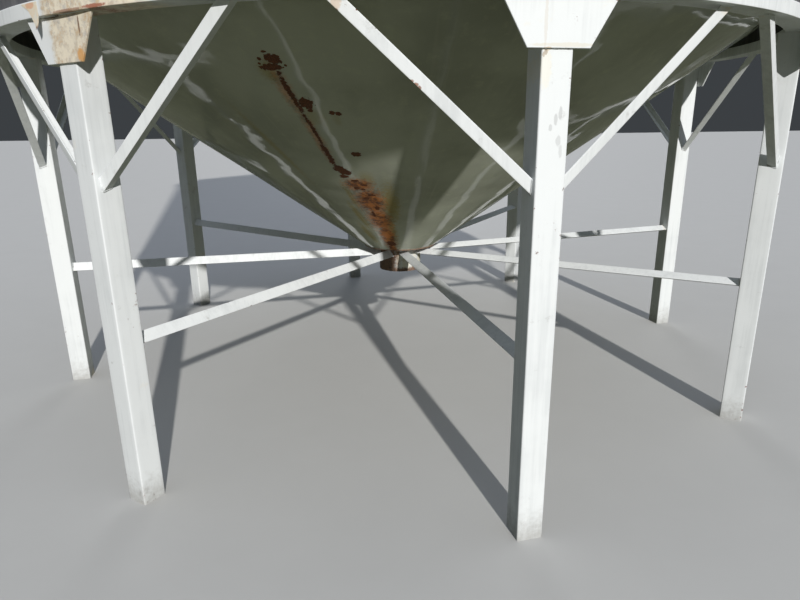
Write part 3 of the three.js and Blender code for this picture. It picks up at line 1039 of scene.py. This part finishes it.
class SILO_OT_head_plates(bpy.types.Operator):
    """Add the trapezoid plates at the heads of the legs"""
    bl_idname = "silo.head_plates"
    bl_label = "Head plates"

    def ring(self, sizes, number, inset, depth):
        """Points round a plate, inset from its edges, at a depth from its back."""
        spread = sizes.plate_top_width - sizes.plate_foot_width
        lean = atan(spread / 2 / sizes.plate_height)
        low, high = LEG_TOP - sizes.plate_height + inset, LEG_TOP - inset
        steps = 12

        def half_width(height):
            share = (height - LEG_TOP) / sizes.plate_height + 1
            return (sizes.plate_foot_width + share * spread) / 2 - inset / cos(lean)

        corners = [(-half_width(low), low), (half_width(low), low),
                   (half_width(high), high), (-half_width(high), high)]
        outward = sizes.leg_face_radius + MATE_GAP + depth
        points = []
        for index, (across, height) in enumerate(corners):
            next_across, next_height = corners[(index + 1) % len(corners)]
            for step in range(steps):
                share = step / steps
                points.append(bay_vector(across + (next_across - across) * share, outward,
                                         height + (next_height - height) * share, number))
        return points

    def execute(self, context):
        sizes = context.scene.silo_stand
        bevel, band = 0.0012, 0.014
        thick = sizes.plate_thickness
        # How far each ring is inset, its depth from the plate's back, and its edge mark
        layers = [(band, 0.0, 0.0), (bevel, 0.0, 1.0), (0.0, bevel, 1.0),
                  (0.0, thick - bevel, 1.0), (bevel, thick, 1.0), (band, thick, 0.0)]
        for number in LEG_NUMBERS:
            rings, edges = [], []
            for inset, depth, edge in layers:
                rings.append(self.ring(sizes, number, inset, depth))
                edges += [edge] * len(rings[-1])
            points, faces = lofted(rings, closed=False)
            paint = "stained_paint" if number == STAINED_LEG else "white_paint"
            piece = made(f"head_plate_steel_{number}", points, faces, finish_of(context, paint),
                         {"edge": edges, "seat": [0.3] * len(points)}, radians(25))
            keep(piece, "white_paint", f"head_plate_{number}")
        return {"FINISHED"}


def brace_bar(sizes, number, side):
    """A brace, from right to left seen from outside: one flange faces out and the other runs
    inward along the lower edge."""
    half = sizes.brace_width / 2
    outward = sizes.leg_face_radius - sizes.brace_setback - half
    foot = bay_vector(side * sizes.leg_width / 2, outward, sizes.brace_foot_height, number)
    reach = sizes.brace_head_radius
    head = bay_vector(side * reach * sin(sizes.brace_head_angle),
                      reach * cos(sizes.brace_head_angle), LEG_TOP, number)
    out = bay_vector(side, 0, 0, number)
    places = [foot, head]
    cuts = [on_plane(foot + out * MATE_GAP, out), on_plane(head, UPRIGHT)]
    if side > 0:
        places.reverse()
        cuts.reverse()
    lean = sizes.brace_lean
    corner = (half - half * sin(lean), -half * cos(lean))
    section = angle_section(sizes.brace_width, sizes.bar_thickness, sizes.bar_corner, corner,
                            -pi / 2 - lean)
    across = UPRIGHT.cross(places[1] - places[0]).normalized()
    return Bar(section, *places, across, *cuts)


def strut_bar(sizes, hopper, number):
    """A strut from the spout to its leg, laid with its corner up like the ridge of a roof."""
    hub_reach = hopper.spout_radius + MATE_GAP
    leg_reach = sizes.leg_face_radius - sizes.leg_width - MATE_GAP
    hub = bay_vector(0, hub_reach, sizes.strut_hub_height, number)
    leg = bay_vector(0, leg_reach, STRUT_LEG_HEIGHTS[number - 1], number)
    out = bay_vector(0, 1, 0, number)
    section = angle_section(sizes.strut_width, sizes.bar_thickness, sizes.bar_corner,
                            (sizes.strut_ridge, 0), sizes.strut_turn)
    return Bar(section, hub, leg, bay_vector(1, 0, 0, number), on_pipe(hub_reach, out),
               on_plane(leg, out))


class SILO_OT_braces(bpy.types.Operator):
    """Add the angle bar braces from the legs up to the ring beam"""
    bl_idname = "silo.braces"
    bl_label = "Braces"

    def execute(self, context):
        sizes = context.scene.silo_stand
        for number in LEG_NUMBERS:
            for side, word in ((-1, "left"), (1, "right")):
                piece = brace_bar(sizes, number, side).piece(
                    f"brace_angle_{number}_{word}", finish_of(context, "white_paint"), 0.05)
                keep(piece, "white_paint", f"brace_{number}_{word}")
        return {"FINISHED"}


class SILO_OT_struts(bpy.types.Operator):
    """Add the angle bar struts from the outlet spout to the legs"""
    bl_idname = "silo.struts"
    bl_label = "Struts"

    def execute(self, context):
        sizes, hopper = context.scene.silo_stand, context.scene.silo_hopper
        for number in LEG_NUMBERS:
            piece = strut_bar(sizes, hopper, number).piece(
                f"strut_angle_{number}", finish_of(context, "white_paint"), 0.06)
            keep(piece, "white_paint", f"strut_{number}")
        return {"FINISHED"}


class SILO_OT_ring_beam(bpy.types.Operator):
    """Add the ring beam in lengths with a narrow joint between them"""
    bl_idname = "silo.ring_beam"
    bl_label = "Ring beam"

    def execute(self, context):
        sizes = context.scene.silo_stand
        outline = band_outline(RING_RADIUS, RING_RADIUS - sizes.ring_depth, RING_FOOT, RING_TOP)
        profile, edges = rounded(outline, sizes.ring_corner, band=0.005)
        joint = sizes.ring_joint / RING_RADIUS
        sweep = 2 * pi / sizes.ring_joints
        steps = ROUND_STEPS // sizes.ring_joints
        points, faces, marks = [], [], []
        for index in range(sizes.ring_joints):
            start = leg_turn(STAINED_LEG) + index * sweep
            more, more_faces = turned(profile, steps, start + joint / 2, sweep - joint)
            faces += [tuple(len(points) + corner for corner in face) for face in more_faces]
            points += more
            marks += edges * (steps + 1)
        piece = made("ring_beam_tube", points, faces, finish_of(context, "stained_paint"),
                     {"edge": marks, "seat": [0.0] * len(points)})
        keep(piece, "white_paint", "ring_beam")
        return {"FINISHED"}


# The loose flap of paint, from its tip up: height over the legs' tops, its left and right edges
# across the bay, and how far it stands off the ring beam
FLAP_ROWS = (
    (-0.042, -0.0800, -0.0740, 0.0190), (-0.034, -0.0900, -0.0715, 0.0120),
    (-0.018, -0.1060, -0.0740, 0.0060), (0.003, -0.1220, -0.0740, 0.0030),
    (0.022, -0.1380, -0.0770, 0.0015), (0.046, -0.1850, -0.0795, 0.0006),
)


class SILO_OT_paint_flap(bpy.types.Operator):
    """Add the flap of paint that has come loose from the ring beam"""
    bl_idname = "silo.paint_flap"
    bl_label = "Paint flap"

    def execute(self, context):
        thick, steps = 0.0008, 7
        tip_off = FLAP_ROWS[0][3]
        rings, marks = [], []
        for rise, left, right, off in FLAP_ROWS:
            front, back = [], []
            for step in range(steps):
                share = step / (steps - 1)
                across = left + (right - left) * share
                reach = sqrt(RING_RADIUS ** 2 - across ** 2) + off * (0.75 + 0.25 * share)
                front.append(bay_vector(across, reach + thick, LEG_TOP + rise, STAINED_LEG))
                back.append(bay_vector(across, reach, LEG_TOP + rise, STAINED_LEG))
            rings.append(front + back[::-1])
            marks += [off / tip_off] * len(rings[-1])
        points, faces = lofted(rings, closed=False)
        piece = made("paint_flap", points, faces, finish_of(context, "flake_paint"),
                     {"edge": marks})
        keep(piece, "white_paint")
        return {"FINISHED"}


def weld_recipe():
    """Beads of weld along the edges of a mesh, with the ripple of a hand-laid bead."""
    recipe = Recipe("weld_beads", {"Radius": "Float", "Ripple": "Float", "Spacing": "Float",
                                   "Sides": "Int", "Material": "Material"}, takes_mesh=True)
    curve = recipe.add("GeometryNodeMeshToCurve", None, {"Mesh": recipe["Geometry"]})
    curve = recipe.add("GeometryNodeResampleCurve", {"mode": "LENGTH"},
                       {"Curve": curve, "Length": recipe["Spacing"]})
    place = recipe.add("GeometryNodeInputPosition")
    uneven = recipe.noise(place, 90.0, 3.0, 0.6)
    scale = 1.0 + (uneven - 0.5) * recipe["Ripple"]
    circle = recipe.add("GeometryNodeCurvePrimitiveCircle", None,
                        {"Resolution": recipe["Sides"], "Radius": recipe["Radius"]})
    bead = recipe.add("GeometryNodeCurveToMesh", None,
                      {"Curve": curve, "Profile Curve": circle, "Scale": scale,
                       "Fill Caps": True})
    bead = recipe.add("GeometryNodeSetShadeSmooth", None, {"Geometry": bead})
    return recipe.finish(bead)


class SILO_OT_welds(bpy.types.Operator):
    """Add the weld beads round the ends of braces and struts and along the head plates"""
    bl_idname = "silo.welds"
    bl_label = "Welds"

    def execute(self, context):
        sizes, hopper = context.scene.silo_stand, context.scene.silo_hopper
        points, edges = [], []

        def line(*path, closed=False):
            """Adds a line for a bead to follow."""
            start = len(points)
            points.extend(tuple(point) for point in path)
            edges.extend((start + step, start + step + 1) for step in range(len(path) - 1))
            if closed:
                edges.append((len(points) - 1, start))

        leg_half = sizes.leg_width / 2
        plate_foot = LEG_TOP - sizes.plate_height
        foot_end, side_end, top_end = 0.008, 0.004, 0.006
        face = sizes.leg_face_radius
        for number in LEG_NUMBERS:
            bars = [brace_bar(sizes, number, side) for side in (-1, 1)]
            bars.append(strut_bar(sizes, hopper, number))
            for bar in bars:
                for loop in bar.ends():
                    line(*loop, closed=True)
            reach = leg_half - foot_end
            line(bay_vector(-reach, face, plate_foot, number),
                 bay_vector(reach, face, plate_foot, number))
            for side in (-1, 1):
                line(bay_vector(side * leg_half, face, plate_foot + side_end, number),
                     bay_vector(side * leg_half, face, LEG_TOP - side_end, number))
            reach = sizes.plate_top_width / 2 - top_end
            line(bay_vector(-reach, face + sizes.plate_thickness, LEG_TOP, number),
                 bay_vector(reach, face + sizes.plate_thickness, LEG_TOP, number))
        paths = bpy.data.meshes.new("weld_paths")
        paths.from_pydata(points, edges, [])
        piece = grown("weld_beads", weld_recipe(), {
            "Radius": sizes.weld_radius, "Ripple": 1.3, "Spacing": 0.005, "Sides": 6,
            "Material": finish_of(context, "weld_paint")}, paths)
        keep(piece, "white_paint")
        return {"FINISHED"}


# The hopper


def cone_recipe():
    """Rolled sheets of a cone, closed round the axis, peaked at their seams and buckled."""
    recipe = Recipe("rolled_cone", {
        "Columns": "Int", "Rows": "Int", "Mouth Radius": "Float", "Rim Radius": "Float",
        "Mouth Height": "Float", "Slope": "Float", "Sheets": "Int", "Seam Angle": "Float",
        "Seam Rise": "Float", "Wave Height": "Float", "Wave Scale": "Float",
        "Thickness": "Float", "Material": "Material"})
    grid, along, up = recipe.grid()
    turn = along * (2 * pi)
    run = (recipe["Rim Radius"] - recipe["Mouth Radius"]) * up
    radius = recipe["Mouth Radius"] + run
    height = recipe["Mouth Height"] + run * recipe["Slope"].math("TANGENT")
    sheet = ((turn - recipe["Seam Angle"]) * (recipe["Sheets"] / (2 * pi))).fraction()
    peak = (abs(sheet - 0.5) * 2.0) ** 2.0
    spot = recipe.round_axis(turn, radius, height)
    buckle = recipe.noise(spot, recipe["Wave Scale"], 2.0, 0.45)
    ends = up.ramp(0.0, 0.16) * (1.0 - up.ramp(0.93, 1.0))
    out = (peak * recipe["Seam Rise"] + (buckle - 0.5) * recipe["Wave Height"]) * ends
    wide = radius + out * recipe["Slope"].sine()
    high = height - out * recipe["Slope"].cosine()
    outside = recipe.add("GeometryNodeSetPosition", None,
                         {"Geometry": grid, "Position": recipe.round_axis(turn, wide, high)})
    return recipe.finish(thickened(recipe, outside))


def thickened(recipe, outside):
    """A closed sheet: the outer surface, with its inner one a thickness behind it."""
    inside = recipe.add("GeometryNodeExtrudeMesh", {"mode": "FACES"}, {
        "Mesh": outside, "Offset Scale": -recipe["Thickness"], "Individual": False})
    inside = recipe.add("GeometryNodeFlipFaces", None, {"Mesh": inside})
    both = recipe.join(outside, inside)
    merged = recipe.add("GeometryNodeMergeByDistance", None,
                        {"Geometry": both, "Distance": 0.00002})
    return recipe.add("GeometryNodeSetShadeSmooth", None, {"Geometry": merged})


def creased(piece, limit):
    """Keeps a smooth surface sharp where it turns by more than the limit."""
    piece.data.set_sharp_from_angle(angle=limit)
    return piece


class SILO_OT_hopper(bpy.types.Operator):
    """Add the skirt and the cone of rolled sheets"""
    bl_idname = "silo.hopper"
    bl_label = "Skirt and cone"

    def execute(self, context):
        sizes = context.scene.silo_hopper
        inner = SKIRT_RADIUS - sizes.skirt_thickness
        outline = band_outline(SKIRT_RADIUS, inner, SKIRT_FOOT, SKIRT_TOP)
        profile = rounded(outline, 0.0008, band=0.003, steps=2)[0]
        points, faces = turned(profile, ROUND_STEPS)
        piece = made("skirt_sheet", points, faces, finish_of(context, "grey_skirt_paint"))
        keep(piece, "grey_paint", "hopper_skirt")
        cone = grown("cone_sheets", cone_recipe(), {
            "Columns": CONE_COLUMNS, "Rows": CONE_ROWS, "Mouth Radius": sizes.mouth_radius,
            "Rim Radius": inner - MATE_GAP, "Mouth Height": CONE_FOOT,
            "Slope": sizes.cone_slope, "Sheets": sizes.cone_sheets,
            "Seam Angle": sizes.seam_angle, "Seam Rise": sizes.seam_rise,
            "Wave Height": sizes.wave_height, "Wave Scale": 1 / sizes.wave_size,
            "Thickness": sizes.cone_thickness,
            "Material": finish_of(context, "olive_cone_paint")})
        keep(creased(cone, radians(40)), "olive_paint", "hopper_cone")
        return {"FINISHED"}


class SILO_OT_outlet(bpy.types.Operator):
    """Add the outlet spout with its flange"""
    bl_idname = "silo.outlet"
    bl_label = "Outlet spout"

    def execute(self, context):
        sizes = context.scene.silo_hopper
        under = FLANGE_TOP - sizes.flange_thickness
        bore = sizes.spout_radius - sizes.spout_wall
        outline = [(sizes.spout_radius, SPOUT_FOOT), (sizes.spout_radius, under),
                   (sizes.mouth_radius, under), (sizes.mouth_radius, FLANGE_TOP),
                   (bore, FLANGE_TOP), (bore, SPOUT_FOOT)]
        profile = rounded(outline, 0.0015, steps=3)[0]
        points, faces = turned(profile, ROUND_STEPS // 2)
        piece = made("outlet_pipe", points, faces, finish_of(context, "spout_paint"),
                     crease=radians(50))
        keep(piece, "white_paint", "outlet_spout")
        return {"FINISHED"}


# The bin wall


def wall_recipe():
    """One corrugated sheet on its arc. Its far end and its top tuck inside the next sheets."""
    recipe = Recipe("corrugated_sheet", {
        "Columns": "Int", "Rows": "Int", "Start": "Float", "Sweep": "Float",
        "Tuck Start": "Float", "Tuck End": "Float", "Foot": "Float", "Height": "Float",
        "Crest Radius": "Float", "Wave Pitch": "Float", "Wave Depth": "Float",
        "Valley Height": "Float", "Tuck": "Float", "Thickness": "Float",
        "Material": "Material"})
    grid, along, up = recipe.grid()
    turn = recipe["Start"] + recipe["Sweep"] * along
    height = recipe["Foot"] + recipe["Height"] * up
    phase = (height - recipe["Valley Height"]) * (2 * pi / recipe["Wave Pitch"])
    wave = (phase.cosine() + 1.0) * 0.5 * recipe["Wave Depth"]
    tuck_along = recipe["Tuck Start"] + (recipe["Tuck End"] - recipe["Tuck Start"]) * along
    tuck = (tuck_along + up) * recipe["Tuck"]
    radius = recipe["Crest Radius"] - wave - tuck
    outside = recipe.add("GeometryNodeSetPosition", None,
                         {"Geometry": grid, "Position": recipe.round_axis(turn, radius, height)})
    return recipe.finish(thickened(recipe, outside))


def lap_height(sizes, ring):
    """The middle of the lap under a ring of sheets."""
    return WALL_FOOT + ring * sizes.sheet_height - sizes.sheet_lap / 2


def ring_count(sizes):
    """How many rings of sheets the wall has."""
    return round((WALL_TOP - WALL_FOOT) / sizes.sheet_height)


def sheet_parts(section, ring):
    """The start and sweep of each part of a sheet in a section, and where the sheet starts."""
    start = FIRST_SEAM_ANGLE + section * SECTION_ANGLE
    if ring % 2 == 0:
        return [(start, SECTION_ANGLE, 0.0, 1.0)]
    half = SECTION_ANGLE / 2
    return [(start, half, 0.5, 1.0), (start + half, half, 0.0, 0.5)]


def joined(name, pieces):
    """One object from several."""
    with bpy.context.temp_override(active_object=pieces[0], object=pieces[0],
                                   selected_editable_objects=pieces,
                                   selected_objects=pieces):
        bpy.ops.object.join()
    pieces[0].name = name
    pieces[0].data.name = name
    return pieces[0]


class SILO_OT_bin_wall(bpy.types.Operator):
    """Add the rings of corrugated sheets, their seams staggered"""
    bl_idname = "silo.bin_wall"
    bl_label = "Bin wall"

    def execute(self, context):
        sizes = context.scene.silo_bin
        tree = wall_recipe()
        tuck = sizes.sheet_thickness + MATE_GAP
        valley = lap_height(sizes, 1)
        for section in range(WALL_SECTION_COUNT):
            sheets = []
            for ring in range(ring_count(sizes)):
                foot = WALL_FOOT + ring * sizes.sheet_height
                height = sizes.sheet_height
                if ring > 0:
                    foot -= sizes.sheet_lap
                    height += sizes.sheet_lap
                for start, sweep, tuck_start, tuck_end in sheet_parts(section, ring):
                    under = sizes.sheet_lap / sizes.crest_radius if tuck_end == 1.0 else 0.0
                    columns = ceil(sweep / (2 * pi) * ROUND_STEPS) + 1
                    rows = round(height / sizes.wave_pitch * WAVE_STEPS) + 1
                    sheets.append(grown("sheet", tree, {
                        "Columns": columns, "Rows": rows,
                        "Start": start, "Sweep": sweep + under, "Tuck Start": tuck_start,
                        "Tuck End": tuck_end, "Foot": foot, "Height": height,
                        "Crest Radius": sizes.crest_radius, "Wave Pitch": sizes.wave_pitch,
                        "Wave Depth": sizes.wave_depth, "Valley Height": valley,
                        "Tuck": tuck, "Thickness": sizes.sheet_thickness,
                        "Material": finish_of(context, "galvanised_wall")}))
            piece = joined(f"wall_sheets_{section + 1}", sheets)
            keep(creased(piece, radians(50)), "galvanised_sheet", f"wall_section_{section + 1}")
        return {"FINISHED"}


def bolt_recipe():
    """A hexagon bolt head on a washer at each point, turned to face out."""
    recipe = Recipe("bolt_heads", {"Radius": "Float", "Height": "Float",
                                   "Material": "Material"}, takes_mesh=True)
    washer_height = recipe["Height"] * 0.35
    washer = recipe.add("GeometryNodeMeshCylinder", None, {
        "Vertices": 12, "Radius": recipe["Radius"] * 1.35, "Depth": washer_height})
    head = recipe.add("GeometryNodeMeshCylinder", None, {
        "Vertices": 6, "Radius": recipe["Radius"], "Depth": recipe["Height"]})
    head = recipe.add("GeometryNodeTransform", None, {
        "Geometry": head, "Translation": recipe.combine(0.0, 0.0, recipe["Height"] * 0.55)})
    facing = recipe.add("GeometryNodeInputNamedAttribute", {"data_type": "FLOAT_VECTOR"},
                        {"Name": "facing"})
    upright = recipe.add("FunctionNodeAlignRotationToVector", {"axis": "Z"},
                         {"Vector": facing})
    bolts = recipe.add("GeometryNodeInstanceOnPoints", None, {
        "Points": recipe["Geometry"], "Instance": recipe.join(washer, head),
        "Rotation": upright})
    return recipe.finish(bolts)


class SILO_OT_bolts(bpy.types.Operator):
    """Add the bolts along the laps of the wall's sheets and the top of the skirt"""
    bl_idname = "silo.bolts"
    bl_label = "Bolts"

    def execute(self, context):
        sizes = context.scene.silo_bin
        points, facings = [], []

        def bolt(turn, radius, height):
            """Adds the place of a bolt."""
            points.append((radius * sin(turn), -radius * cos(turn), height))
            facings.append((sin(turn), -cos(turn), 0.0))

        valley = sizes.crest_radius - sizes.wave_depth
        rings = ring_count(sizes)
        pitch = SECTION_ANGLE / sizes.bolts_across
        around = WALL_SECTION_COUNT * sizes.bolts_across
        for index in range(around):
            turn = FIRST_SEAM_ANGLE + (index + 0.5) * pitch
            bolt(turn, SKIRT_RADIUS, SKIRT_TOP - 0.025)
            for ring in range(1, rings):
                bolt(turn, valley, lap_height(sizes, ring))
        waves = round(sizes.sheet_height / sizes.wave_pitch)
        for ring in range(rings):
            stagger = SECTION_ANGLE / 2 * (ring % 2)
            for section in range(WALL_SECTION_COUNT):
                seam = FIRST_SEAM_ANGLE + section * SECTION_ANGLE + stagger
                for wave in range(waves):
                    height = lap_height(sizes, ring) + (wave + 1) * sizes.wave_pitch
                    if height > WALL_TOP - 0.02 or wave == waves - 1:
                        continue
                    bolt(seam + sizes.sheet_lap / 2 / sizes.crest_radius, valley, height)
        mesh = bpy.data.meshes.new("bolt_places")
        mesh.from_pydata(points, [], [])
        attribute = mesh.attributes.new("facing", "FLOAT_VECTOR", "POINT")
        attribute.data.foreach_set("vector", np.array(facings, np.float32).ravel())
        piece = grown("wall_bolts", bolt_recipe(), {
            "Radius": sizes.bolt_radius, "Height": sizes.bolt_height,
            "Material": finish_of(context, "zinc_bolts")}, mesh)
        keep(piece, "galvanised_sheet")
        return {"FINISHED"}


# The roof


def roof_height(sizes, radius):
    """Height of the underside of the roof."""
    return EAVE_FOOT + (EAVE_RADIUS - radius) * tan(sizes.roof_slope)


def repeat_recipe():
    """A mesh repeated round the axis."""
    recipe = Recipe("repeat_round", {"Count": "Int", "First": "Float",
                                     "Material": "Material"}, takes_mesh=True)
    spots = recipe.add("GeometryNodeMeshLine", None,
                       {"Count": recipe["Count"], "Offset": (0.0, 0.0, 0.0)})
    index = recipe.add("GeometryNodeInputIndex")
    turn = recipe["First"] + index * (2 * pi / recipe["Count"])
    copies = recipe.add("GeometryNodeInstanceOnPoints", None, {
        "Points": spots, "Instance": recipe["Geometry"],
        "Rotation": recipe.combine(0.0, 0.0, turn)})
    return recipe.finish(copies)


class SILO_OT_roof(bpy.types.Operator):
    """Add the roof sheets and the ribs along their joints"""
    bl_idname = "silo.roof"
    bl_label = "Roof"

    def execute(self, context):
        sizes = context.scene.silo_roof
        lift = sizes.thickness
        thick = sizes.sheet_thickness
        hole, rim = sizes.hole_radius, EAVE_RADIUS

        def surface(radius):
            """Height of the top of the roof."""
            return roof_height(sizes, radius) + lift

        outline = [(rim, EAVE_FOOT), (rim, surface(rim)), (hole, surface(hole)),
                   (hole, surface(hole) - thick), (rim - thick, surface(rim - thick) - thick),
                   (rim - thick, EAVE_FOOT)]
        profile = rounded(outline, 0.0009, steps=2)[0]
        points, faces = turned(profile, ROUND_STEPS)
        sheet = made("roof_sheets", points, faces, finish_of(context, "galvanised_roof"))
        keep(sheet, "galvanised_sheet", "roof_cone")
        half, crown = sizes.rib_width / 2, sizes.rib_crown / 2
        low, high = -0.002, sizes.rib_height
        section = rounded([(-half, low), (half, low), (crown, high), (-crown, high)], 0.004)
        outer, inner = rim - sizes.rib_eave_gap, CAP_RADIUS + sizes.rib_cap_gap
        foot = Vector((0.0, -outer, surface(outer)))
        head = Vector((0.0, -inner, surface(inner)))
        side = Vector((-1.0, 0.0, 0.0))
        inward = Vector((0.0, 1.0, 0.0))
        sloped = Vector((0.0, 1.0, 0.9)).normalized()
        rib = Bar(section, foot, head, side, on_plane(foot, sloped), on_plane(head, inward))
        rib = rib.piece("rib", finish_of(context, "galvanised_roof"), 0.2)
        mesh = rib.data
        bpy.data.objects.remove(rib)
        ribs = grown("roof_ribs", repeat_recipe(), {
            "Count": sizes.panels, "First": pi / sizes.panels,
            "Material": finish_of(context, "galvanised_roof")}, mesh)
        keep(creased(ribs, radians(35)), "galvanised_sheet")
        return {"FINISHED"}


class SILO_OT_roof_cap(bpy.types.Operator):
    """Add the lid over the roof's centre hole"""
    bl_idname = "silo.roof_cap"
    bl_label = "Roof cap"

    def execute(self, context):
        sizes = context.scene.silo_roof
        thick = sizes.cap_thickness
        inner = CAP_RADIUS - thick
        edge = CAP_FOOT + sizes.cap_rim
        rise = tan(sizes.cap_slope)
        centre = 0.006
        outline = [(centre, edge + (CAP_RADIUS - centre) * rise),
                   (centre, edge - thick + (CAP_RADIUS - centre) * rise),
                   (inner, edge - thick + (CAP_RADIUS - inner) * rise),
                   (inner, CAP_FOOT), (CAP_RADIUS, CAP_FOOT), (CAP_RADIUS, edge)]
        profile = rounded(outline, 0.0022)[0]
        points, faces = turned(profile, ROUND_STEPS // 2)
        piece = made("roof_lid", points, faces, finish_of(context, "galvanised_roof"),
                     crease=radians(40))
        keep(piece, "galvanised_sheet", "roof_cap")
        return {"FINISHED"}


# The stage


class SILO_OT_stage(bpy.types.Operator):
    """Add the floor, the light and the photograph's camera"""
    bl_idname = "silo.stage"
    bl_label = "Stage"

    def execute(self, context):
        stage = context.scene.silo_stage
        self.floor(stage)
        self.bounce(stage)
        self.light(context, stage)
        self.camera(context, stage)
        context.scene.view_settings.view_transform = "Standard"
        return {"FINISHED"}

    def sheet(self, stage, name, height, tint, shade, grain):
        """A wide level sheet, matte, whose colour is a little darker in patches."""
        finish = Finish(name + "_matte")
        patches = finish.noise(finish.place, *grain)
        tone = finish.mix(tint, [shade * part for part in tint], patches)
        paint = finish.surface({"Base Color": tone, "Roughness": 0.9})
        corners = [(x * stage.reach, y * stage.reach, height)
                   for x, y in ((-1, -1), (1, -1), (1, 1), (-1, 1))]
        return made("studio_" + name, corners, [(0, 1, 2, 3)], paint)

    def floor(self, stage):
        """The floor that is seen. Light goes through it."""
        floor = self.sheet(stage, "floor", 0, stage.floor_colour, 0.94, (3.0, 4.0, 0.6))
        floor.visible_diffuse = False
        floor.visible_glossy = False
        floor.visible_shadow = False

    def bounce(self, stage):
        """A sheet just under the floor, not seen, that throws light back up."""
        sheet = self.sheet(stage, "bounce", -0.001, stage.underneath, 0.8, (2.0, 3.0, 0.6))
        sheet.visible_camera = False

    def lamp(self, context, name, turn, rise, softness, strength, tint):
        """A distant light from an angle and a height."""
        light = bpy.data.lights.new(name, "SUN")
        light.energy = strength
        light.angle = softness
        light.color = tint
        lamp = bpy.data.objects.new(name, light)
        toward = Vector((sin(turn) * cos(rise), -cos(turn) * cos(rise), sin(rise)))
        lamp.rotation_euler = toward.to_track_quat("Z", "Y").to_euler()
        lamp.location = toward * 20
        context.scene.collection.objects.link(lamp)

    def light(self, context, stage):
        """A warm key light, a cool one from behind, and a sky that is brightest overhead."""
        warm, cool = (1.0, 0.975, 0.93), (0.95, 0.97, 1.0)
        self.lamp(context, "key_light", stage.key_angle, stage.key_elevation,
                  stage.key_softness, stage.key_strength, warm)
        self.lamp(context, "back_light", stage.back_angle, stage.back_elevation,
                  stage.back_softness, stage.back_strength, cool)
        world = bpy.data.worlds.new("studio")
        world.use_nodes = True
        nodes = Nodes(world.node_tree)
        height = nodes.split(nodes.add("ShaderNodeTexCoord", None, None, "Generated"))[2]
        light = nodes.mix(stage.backdrop, stage.overhead, height.ramp(0.15, 0.85))
        nodes.feed(world.node_tree.nodes["Background"].inputs["Color"], light)
        context.scene.world = world

    def camera(self, context, stage):
        data = bpy.data.cameras.new("photograph_view")
        data.sensor_fit = "HORIZONTAL"
        data.sensor_width = SENSOR_WIDTH
        data.lens = stage.lens
        data.clip_end = 500.0
        ahead = Vector((sin(stage.yaw) * cos(stage.pitch), cos(stage.yaw) * cos(stage.pitch),
                        -sin(stage.pitch)))
        level = Vector((cos(stage.yaw), -sin(stage.yaw), 0.0))
        upright = level.cross(ahead)
        right = level * cos(stage.roll) + upright * sin(stage.roll)
        up = upright * cos(stage.roll) - level * sin(stage.roll)
        camera = bpy.data.objects.new("photograph_view", data)
        turn = Matrix((right, up, -ahead)).transposed()
        camera.matrix_world = Matrix.Translation(stage.eye) @ turn.to_4x4()
        context.scene.collection.objects.link(camera)
        context.scene.camera = camera


class SILO_PT_panel(bpy.types.Panel):
    """The silo's sizes, finishes and pieces"""
    bl_idname = "SILO_PT_panel"
    bl_label = "Grain Silo"
    bl_space_type = "VIEW_3D"
    bl_region_type = "UI"
    bl_category = "Silo"

    def draw(self, context):
        for name in PROPERTY_GROUPS:
            box = self.layout.box()
            group = getattr(context.scene, name)
            for item in group.bl_rna.properties:
                if item.identifier not in ("name", "rna_type"):
                    box.prop(group, item.identifier)
        for operator in OPERATORS:
            self.layout.operator(operator.bl_idname)


PROPERTY_GROUPS = {
    "silo_stand": StandSizes,
    "silo_hopper": HopperSizes,
    "silo_bin": BinSizes,
    "silo_roof": RoofSizes,
    "silo_finishes": Finishes,
    "silo_stage": StageSettings,
}
OPERATORS = (
    SILO_OT_legs, SILO_OT_head_plates, SILO_OT_braces, SILO_OT_struts, SILO_OT_ring_beam,
    SILO_OT_paint_flap, SILO_OT_hopper, SILO_OT_outlet, SILO_OT_welds, SILO_OT_bin_wall,
    SILO_OT_bolts, SILO_OT_roof, SILO_OT_roof_cap, SILO_OT_stage,
)


def register():
    """Registers the property groups, operators and panel."""
    for name, group in PROPERTY_GROUPS.items():
        bpy.utils.register_class(group)
        setattr(bpy.types.Scene, name, PointerProperty(type=group))
    for kind in (*OPERATORS, SILO_PT_panel):
        bpy.utils.register_class(kind)


def unregister():
    """Takes away what register added."""
    for kind in reversed((*OPERATORS, SILO_PT_panel)):
        bpy.utils.unregister_class(kind)
    for name, group in PROPERTY_GROUPS.items():
        delattr(bpy.types.Scene, name)
        bpy.utils.unregister_class(group)


def main():
    """Builds the silo and its stage."""
    register()
    for operator in OPERATORS:
        family, name = operator.bl_idname.split(".")
        getattr(getattr(bpy.ops, family), name)()


if __name__ == "__main__":
    main()
